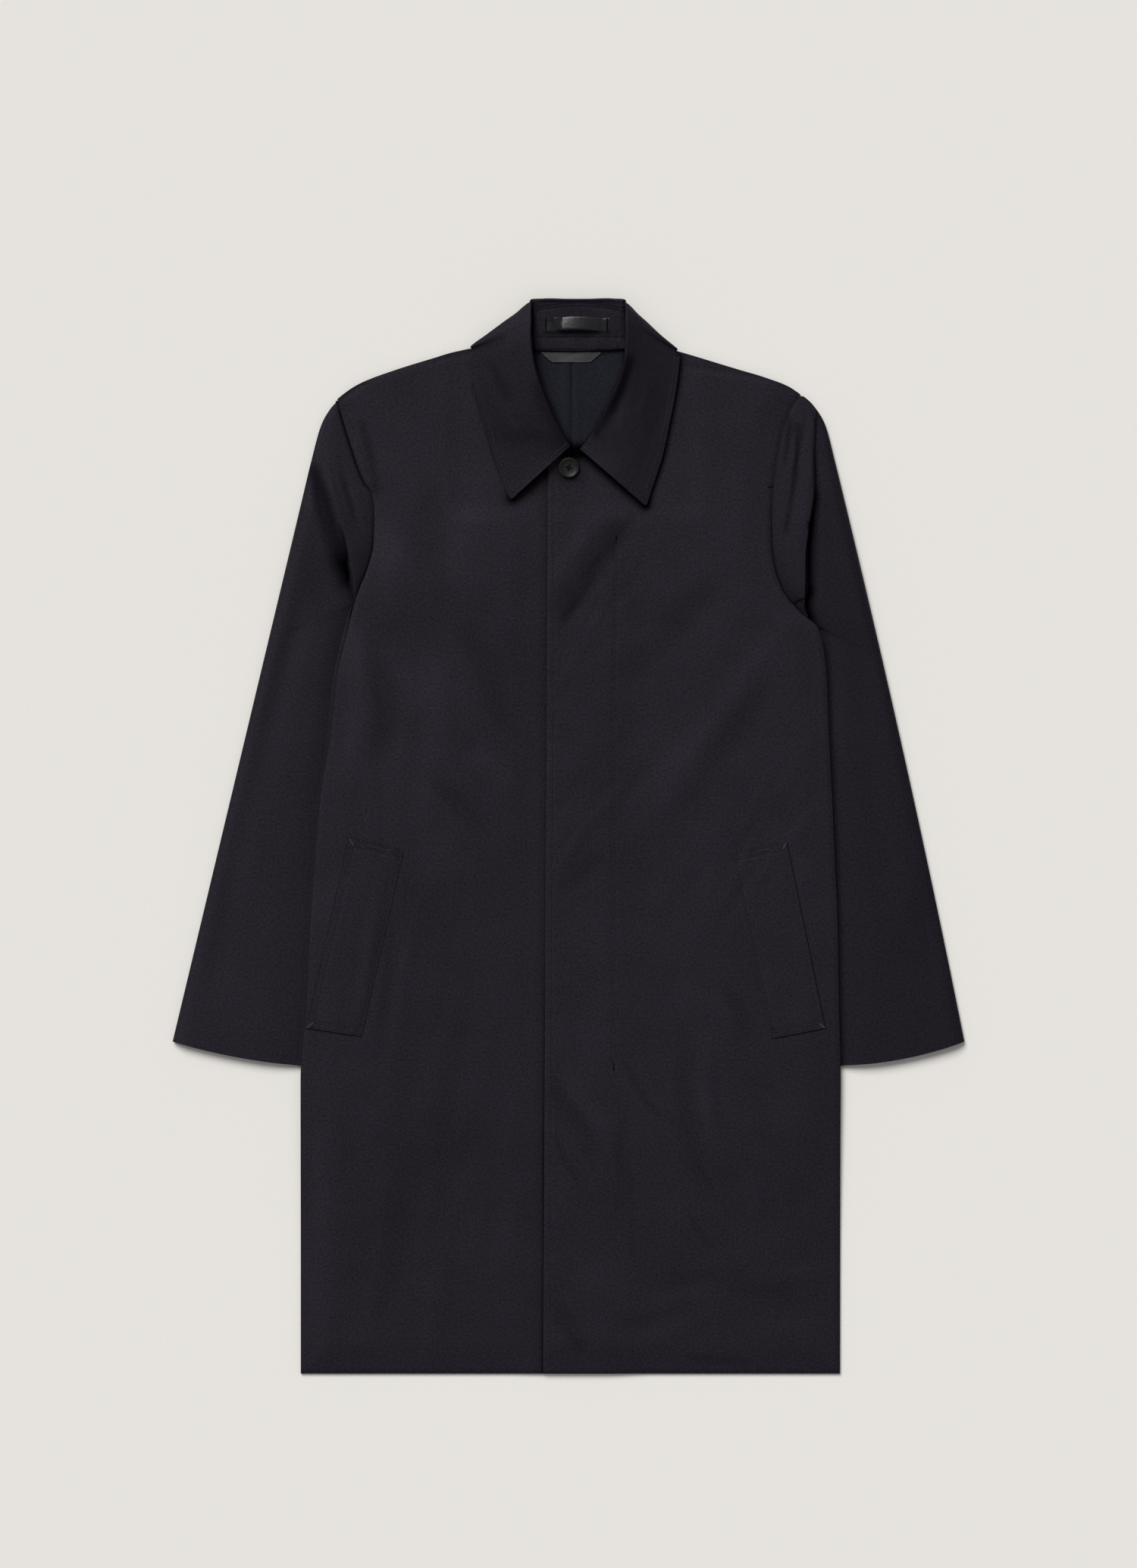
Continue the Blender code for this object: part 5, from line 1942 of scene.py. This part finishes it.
@dataclass
class NeckInside:
    """What shows in the neck: the lining, the hanger loop and the bare label."""

    shape: CoatShape
    collar: Collar
    lining_foot: float = 912.0
    lining_top: float = 1013.2
    lining_inset: float = 3.2
    lining_seam: float = 2.8
    lining_z: float = 2.8
    lining_wall: float = 0.8
    loop_wall: float = 0.7
    label_wall: float = 0.6
    label_z: float = 3.9
    selvedge_z: float = 4.25
    # Painted shade on the lining: beside the collar, along the neck and centre seams and at the neck's
    # point.
    lining_shades: tuple[Shade, ...] = rows_of(
        Shade,
        (((-38, 1021), (-34.5, 994), (-25.5, 967), (-11, 936), (1.5, 916)), 4.5, 0.7),
        (((57.8, 1021), (54.8, 994), (44.3, 967), (26.3, 931.5), (11.6, 913.5)), 2.5, 0.6),
        (((-40, 1012.5), (60, 1012.5)), 1.8, 0.6),
        (((2.8, 1013), (2.8, 912)), 0.5, 0.6),
        (((0, 914), (12, 914)), 7, 0.95),
    )
    loop_span: Point = (-24, 39.8)
    loop_heights: Point = (1030, 1043)
    loop_end: float = 7.0
    loop_arch: float = 4.5
    loop_tilt: Path = (
        *((-24, 0), (-19, -2), (-15, 3), (-11, 3)),
        *((-6, -3.2), (14, -2.4), (39.8, 0.6)),
    )
    label_top: Point = (-26.5, 32.3)
    label_foot: Point = (-16, 21)
    label_heights: Point = (1000.5, 1009.6)

    def lining(self, side: Side) -> Piece:
        """One half of the lining.

        Args:
            side: the wearer's side.

        Returns:
            The piece.
        """
        heights = np.linspace(self.lining_foot, self.lining_top, 40)
        down = (self.shape.neck_point_height - heights) / self.shape.neck_depth
        outer = side.value * (self.shape.neck_half[side] * np.sqrt(1 - down**2) - self.lining_inset)
        share = np.linspace(0, 1, 34)
        inner = self.lining_seam - side.value * 0.3
        x = inner + (outer[:, None] - inner) * share
        height = np.broadcast_to(heights[:, None], x.shape)
        seam = np.abs(x - self.lining_seam)
        z = self.lining_z + 0.35 * crumple(x, height, 22, 41) - 0.3 * bell(seam / 1.2)
        z = z + 0.5 * bell((seam - 5) / 4)
        points = np.dstack([x, height, z])
        node = f"back_lining_{side.label}"
        hollow = shaded(self.lining_shades, x, height)
        return cloth_sheet(node, points, self.lining_wall, LINING_TWILL, hollow, Slot.LINING)

    def loop(self) -> Piece:
        """The arched hanger loop with its ends sewn to the stand.

        Returns:
            The piece.
        """
        start, end = self.loop_span
        x = np.linspace(start, end, 80)
        along = np.clip((x - start - self.loop_end) / (end - start - 2 * self.loop_end), 0, 1)
        arch = self.loop_arch * np.sin(math.pi * along) ** 0.7
        low, high = self.loop_heights
        heights = np.linspace(low, high, 16)
        grid_h = heights[None, :] + 1.6 * np.sin(math.pi * along)[:, None]
        grid_x = np.broadcast_to(x[:, None], grid_h.shape)
        edge = np.minimum(heights - low, high - heights)[None, :]
        up = ((heights - low) / (high - low) - 0.5)[None, :]
        tilt = np.interp(x, *zip(*self.loop_tilt))[:, None]
        z = surface_over(self.collar.stand_points(), 1.9)(grid_x, grid_h)
        z = z + arch[:, None] + 0.5 * (arc(edge / 1.4) - 1) + tilt * up
        points = np.dstack([grid_x, grid_h, z])
        wall = self.loop_wall
        return cloth_sheet("hanger_loop", points, wall, LOOP_SATIN, slot=Slot.LOOP, kind="tape")

    def label(self) -> Piece:
        """The bare satin label below the neck seam.

        Returns:
            The piece.
        """
        low, high = self.label_heights
        down = np.linspace(0, 1, 14)[:, None]
        share = np.linspace(0, 1, 40)[None, :]
        left = self.label_top[0] + (self.label_foot[0] - self.label_top[0]) * down
        right = self.label_top[1] + (self.label_foot[1] - self.label_top[1]) * down
        x = left + (right - left) * share
        height = np.broadcast_to(high + (low - high) * down, x.shape)
        z = self.label_z + 0.5 * np.sin(math.pi * share) * down + 0.15 * crumple(x, height, 9, 51)
        points = np.dstack([x, height, z])
        wall = self.label_wall
        return cloth_sheet("neck_label", points, wall, LABEL_SATIN, slot=Slot.LABEL, kind="satin")

    def selvedge(self) -> Piece:
        """The label's bright woven edge.

        Returns:
            The piece.
        """
        low, high = self.label_heights
        upper = [(x, high) for x in self.label_top]
        lower = [(x, low) for x in self.label_foot]
        corners = (*upper, *lower[::-1], upper[0])
        kind = Stitch(pitch=0.9, length=1.1, width=0.6, height=0.3)
        level = on_surface(corners, lambda x, height: np.full_like(x, self.selvedge_z), step=0.6)
        rows = [(level, kind)]
        return sew("neck_label_selvedge", rows, SILVER_THREAD, Slot.LABEL)

    def build(self) -> list[Piece]:
        """Builds the lining, the loop with its tacks, and the label.

        Returns:
            The pieces.
        """
        pieces = [*(self.lining(side) for side in Side), self.loop(), self.label(), self.selvedge()]
        low, high = self.loop_heights
        surface = surface_over(self.collar.stand_points(), 2.2)
        ends = []
        for x in (self.loop_span[0] + 1.6, self.loop_span[1] - 1.6):
            ends.append((on_surface(((x, low), (x, high)), surface), BAR_TACK))
        return [*pieces, sew("hanger_loop_tacks", ends, DARK_THREAD_AND_HOLE_SHADE, Slot.LOOP)]


@dataclass
class PocketWelts:
    """The slanting pocket welts with their rows of stitching."""

    fronts: Fronts
    thick: float = 1.0
    width: float = 55.0
    length: float = 190.0
    grid: tuple[int, int] = (72, 30)
    corners: Both[tuple[Point, Point, Point, Point]] = Both(
        right=((-216.8, 530.3), (-162, 518.3), (-204, 333), (-259.5, 341.3)),
        left=((216, 526.5), (161.3, 515.3), (200.3, 330.8), (254.3, 341.3)),
    )
    open_inset: float = 5.6
    end_inset: float = 1.6
    second_inset: float = 7.0
    inner_inset: float = 1.5

    def place(self, side: Side, across: Array | float, down: Array | float) -> tuple[Array, Array]:
        """A point of a welt by its shares across and down.

        Args:
            side: the wearer's side.
            across: 0 at the open outer edge to 1 at the inner edge.
            down: 0 at the upper end to 1 at the lower end.

        Returns:
            x and height.
        """
        upper_outer, upper_inner, lower_inner, lower_outer = (np.array(spot) for spot in self.corners[side])
        spots = []
        for axis in (0, 1):
            start = upper_outer[axis] + (lower_outer[axis] - upper_outer[axis]) * down
            end = upper_inner[axis] + (lower_inner[axis] - upper_inner[axis]) * down
            spots.append(start + (end - start) * across)
        return spots[0], spots[1]

    def z(self, side: Side, x: Array, height: Array) -> Array:
        """Upper face of a welt away from its edges."""
        return self.fronts.z(side, x, height) + self.thick + 0.15

    def build(self) -> list[Piece]:
        """Builds both welts and their stitching.

        Returns:
            The pieces.
        """
        pieces = []
        for side in Side:
            down, share = ((1 - np.cos(np.linspace(0, math.pi, count))) / 2 for count in self.grid)
            across = np.broadcast_to(share[None, :], self.grid)
            along = np.broadcast_to(down[:, None], self.grid)
            x, height = self.place(side, across, along)
            ends = np.minimum(along, 1 - along) * self.length
            rim = np.minimum(across * self.width, ends)
            z = self.z(side, x, height) + 0.6 * (arc(rim / 1.2) - 1)
            z = z - 0.75 * (1 - ease((1 - across) * self.width / 12))
            # Painted shade along the welt's edges.
            shade = 0.5 * bell(rim / 0.9)
            rows = self.rows(side)
            for path, _ in rows[:6]:
                z = z + Pressing(depth=0.3, pucker=0.1, pucker_reach=4).at(path, x, height)
            name = f"pocket_welt_{side.label}"
            pieces.append(cloth_sheet(name, np.dstack([x, height, z]), 0.9, GABARDINE, shade))
            sewn = [(on_surface(path, partial(self.z, side), 0.05), kind) for path, kind in rows]
            pieces.append(sew(f"{name}_stitching", sewn, THREAD))
        return pieces

    def rows(self, side: Side) -> list[tuple[Path, Stitch]]:
        """The welt's rows of stitching and bar tacks.

        Args:
            side: the wearer's side.

        Returns:
            Each row's path and stitch.
        """
        width, length = self.width, self.length

        def line(*spots: Point) -> Path:
            """A path on the welt.

            Args:
                spots: points in millimetres from the open edge and the upper end.

            Returns:
                The same points on the coat.
            """
            made = []
            for across, down in spots:
                x, height = self.place(side, across / width, down / length)
                made.append((float(x), float(height)))
            return made

        open_row, inner = self.open_inset, width - self.inner_inset
        top, foot = self.end_inset, length - self.end_inset
        second, last = self.second_inset, length - self.second_inset
        rows = [(line((across, top), (across, foot)), FINE_STITCH) for across in (open_row, inner)]
        rows += [(line((1, down), (inner, down)), FINE_STITCH) for down in (top, second, foot, last)]
        tacks = (((0.8, 0.8), (open_row + 0.5, second)), ((0.8, length - 0.8), (open_row + 0.5, last)))
        return rows + [(line(*ends), BAR_TACK) for ends in tacks]


@dataclass
class NeckButton:
    """The neck button with its thread, and the buttonhole it is fastened through."""

    fronts: Fronts
    centre: Point = (0.4, 895.5)
    shank: float = 0.35
    turn: float = 28.0
    radius: float = 10.2
    rings: Path = (
        *((8, 0), (9.6, 0.5), (10.2, 1.4), (10.2, 2.4), (9.8, 3.1)),
        *((9.2, 3.4), (8.5, 3.3), (7.8, 2.75), (7, 2.45), (4, 2.3)),
    )
    hole_radius: float = 1.0
    hole_offset: float = 2.0
    sides: int = 72
    slit: tuple[Point, Point] = ((6.8, 888.9), (15.6, 879.6))

    def base_z(self) -> float:
        """Height of the button's underside."""
        x, height = self.centre
        return float(self.fronts.z(Side.LEFT, np.array([x]), np.array([height]))[0]) + self.shank

    def disc(self) -> Piece:
        """The turned disc with its rim and four holes.

        Returns:
            The piece.
        """
        bpy.ops.object.select_all(action="DESELECT")
        foot = self.rings[0][0] * MM
        bpy.ops.mesh.primitive_circle_add(vertices=self.sides, radius=foot, fill_type="NGON")
        disc = bpy.context.object
        disc.name = "neck_button_disc"
        disc.data.name = disc.name
        bpy.ops.object.mode_set(mode="EDIT")
        bpy.ops.mesh.select_all(action="SELECT")
        bpy.ops.mesh.flip_normals()
        for (before, low), (after, high) in zip(self.rings, self.rings[1:]):
            bpy.ops.mesh.extrude_region_move(TRANSFORM_OT_translate={"value": (0, 0, (high - low) * MM)})
            share = after / before
            bpy.ops.transform.resize(value=(share, share, 1))
        bpy.ops.mesh.select_all(action="SELECT")
        bpy.ops.mesh.normals_make_consistent(inside=False)
        bpy.ops.object.mode_set(mode="OBJECT")
        cutters = []
        for number in range(4):
            angle = math.radians(45 + 90 * number)
            spot = (math.cos(angle) * self.hole_offset * MM, math.sin(angle) * self.hole_offset * MM, 0)
            bpy.ops.mesh.primitive_cylinder_add(
                vertices=24, radius=self.hole_radius * MM, depth=14 * MM, location=spot
            )
            cutters.append(bpy.context.object)
        bpy.ops.object.select_all(action="DESELECT")
        disc.select_set(True)
        bpy.context.view_layer.objects.active = disc
        for cutter in cutters:
            drilled = disc.modifiers.new("hole", "BOOLEAN")
            drilled.object = cutter
            drilled.operation = "DIFFERENCE"
            bpy.ops.object.modifier_apply(modifier=drilled.name)
            bpy.data.objects.remove(cutter)
        x, height = self.centre
        disc.location = (x * MM, (height - HALF_LENGTH) * MM, self.base_z() * MM)
        disc.rotation_euler.z = math.radians(self.turn)
        bpy.ops.object.transform_apply(location=True, rotation=True, scale=True)
        disc.data.materials.append(HORN.material())
        bpy.ops.object.shade_smooth_by_angle(angle=math.radians(35))
        return dress(disc, Slot.BUTTON, "neck_button")

    def thread(self) -> Piece:
        """The thread across the button's holes and the purled buttonhole.

        Returns:
            The piece.
        """
        x, height = self.centre
        level = self.base_z() + 2.35
        bars = []
        for way in (45, 135):
            angle = math.radians(way + self.turn)
            step = np.array((math.cos(angle), math.sin(angle)))
            for shift in (-0.28, 0.28):
                aside = np.array((-step[1], step[0])) * shift
                ends = [np.array((x, height)) + aside + step * reach for reach in (-2.1, 0, 2.1)]
                bars.append(np.array([(*spot, level) for spot in ends]))
        kind = Stitch(pitch=4.2, length=4.4, width=0.55, height=0.5, uneven=0)
        sewn = [(bar, kind) for bar in bars]
        return sew("neck_button_thread", sewn, DARK_THREAD_AND_HOLE_SHADE, Slot.BUTTON)

    def buttonhole(self) -> Piece:
        """The purl stitches round the buttonhole's visible end.

        Returns:
            The piece.
        """
        lay = partial(on_surface, surface=partial(self.fronts.z, Side.LEFT), above=0.15, step=0.5)
        start, end = (np.array(spot) for spot in self.slit)
        way = unit(end - start)
        aside = np.array((-way[1], way[0])) * 1.15
        rows = []
        for shift in (aside, -aside):
            path = (tuple(start + shift), tuple(end + shift))
            rows.append((lay(path), PURL))
        cap = (tuple(end + aside * 1.7 + way * 0.6), tuple(end - aside * 1.7 + way * 0.6))
        rows.append((lay(cap), PURL))
        # The slit: stitches along it with large patches of painted shade in the cut.
        slit = replace(PURL, pitch=1, length=1.3, turn=0, hole=0.75)
        rows.append((lay((tuple(start), tuple(end))), slit))
        return sew("neck_buttonhole", rows, HOLE_THREAD)

    def build(self) -> list[Piece]:
        """Builds the disc, its thread and the buttonhole."""
        return [self.disc(), self.thread(), self.buttonhole()]


@dataclass(frozen=True)
class SheetCut:
    """The cut of one cloth piece: width and length of the rectangle it comes from, and what it lies on."""

    piece: str
    width: float
    length: float
    rests_on: tuple[str, ...]


@dataclass
class Studio:
    """Pale floor, soft light from the upper left and a camera straight above."""

    camera_height: float = 4.3104
    camera_y: float = 0.0517
    lens: float = 100.0
    floor_size: float = 12.0
    floor_z: float = -0.0006
    sun_strength: float = 3.0
    sun_angle: float = 36.0
    sun_tilt: float = 44.0
    sun_from: float = 28.0
    sky: str = "ffffff"
    sky_strength: float = 0.32

    def build(self) -> None:
        """Makes the floor, the lights and the camera."""
        scene = bpy.context.scene
        bpy.ops.object.select_all(action="DESELECT")
        bpy.ops.mesh.primitive_plane_add(size=self.floor_size, location=(0, 0, self.floor_z))
        floor = bpy.context.object
        floor.name = "studio_floor"
        floor.data.materials.append(FLOOR.material())
        world = bpy.data.worlds.new("soft_sky")
        world.use_nodes = True
        background = world.node_tree.nodes["Background"]
        background.inputs["Color"].default_value = linear(self.sky)
        background.inputs["Strength"].default_value = self.sky_strength
        scene.world = world
        lamp = bpy.data.lights.new("window_light", "SUN")
        lamp.energy = self.sun_strength
        lamp.angle = math.radians(self.sun_angle)
        sun = bpy.data.objects.new("window_light", lamp)
        sun.rotation_euler = (math.radians(-self.sun_tilt), 0, math.radians(self.sun_from))
        scene.collection.objects.link(sun)
        eye = bpy.data.cameras.new("overhead")
        eye.lens = self.lens
        camera = bpy.data.objects.new("overhead", eye)
        camera.location = (0, self.camera_y, self.camera_height)
        scene.collection.objects.link(camera)
        scene.camera = camera
        scene.view_settings.view_transform = "Standard"


def main() -> None:
    """Builds the coat in order and sets up the studio."""
    logging.basicConfig(level=logging.INFO, format="%(name)s: %(message)s")
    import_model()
    shape = CoatShape()
    fronts = Fronts(shape)
    collar = Collar(shape)
    builders = (
        Sleeves(shape),
        Backs(shape),
        fronts,
        PocketWelts(fronts),
        collar,
        NeckInside(shape, collar),
        NeckButton(fronts),
    )
    made = {piece.name: piece for builder in builders for piece in builder.build()}
    Studio().build()


if __name__ == "__main__":
    main()
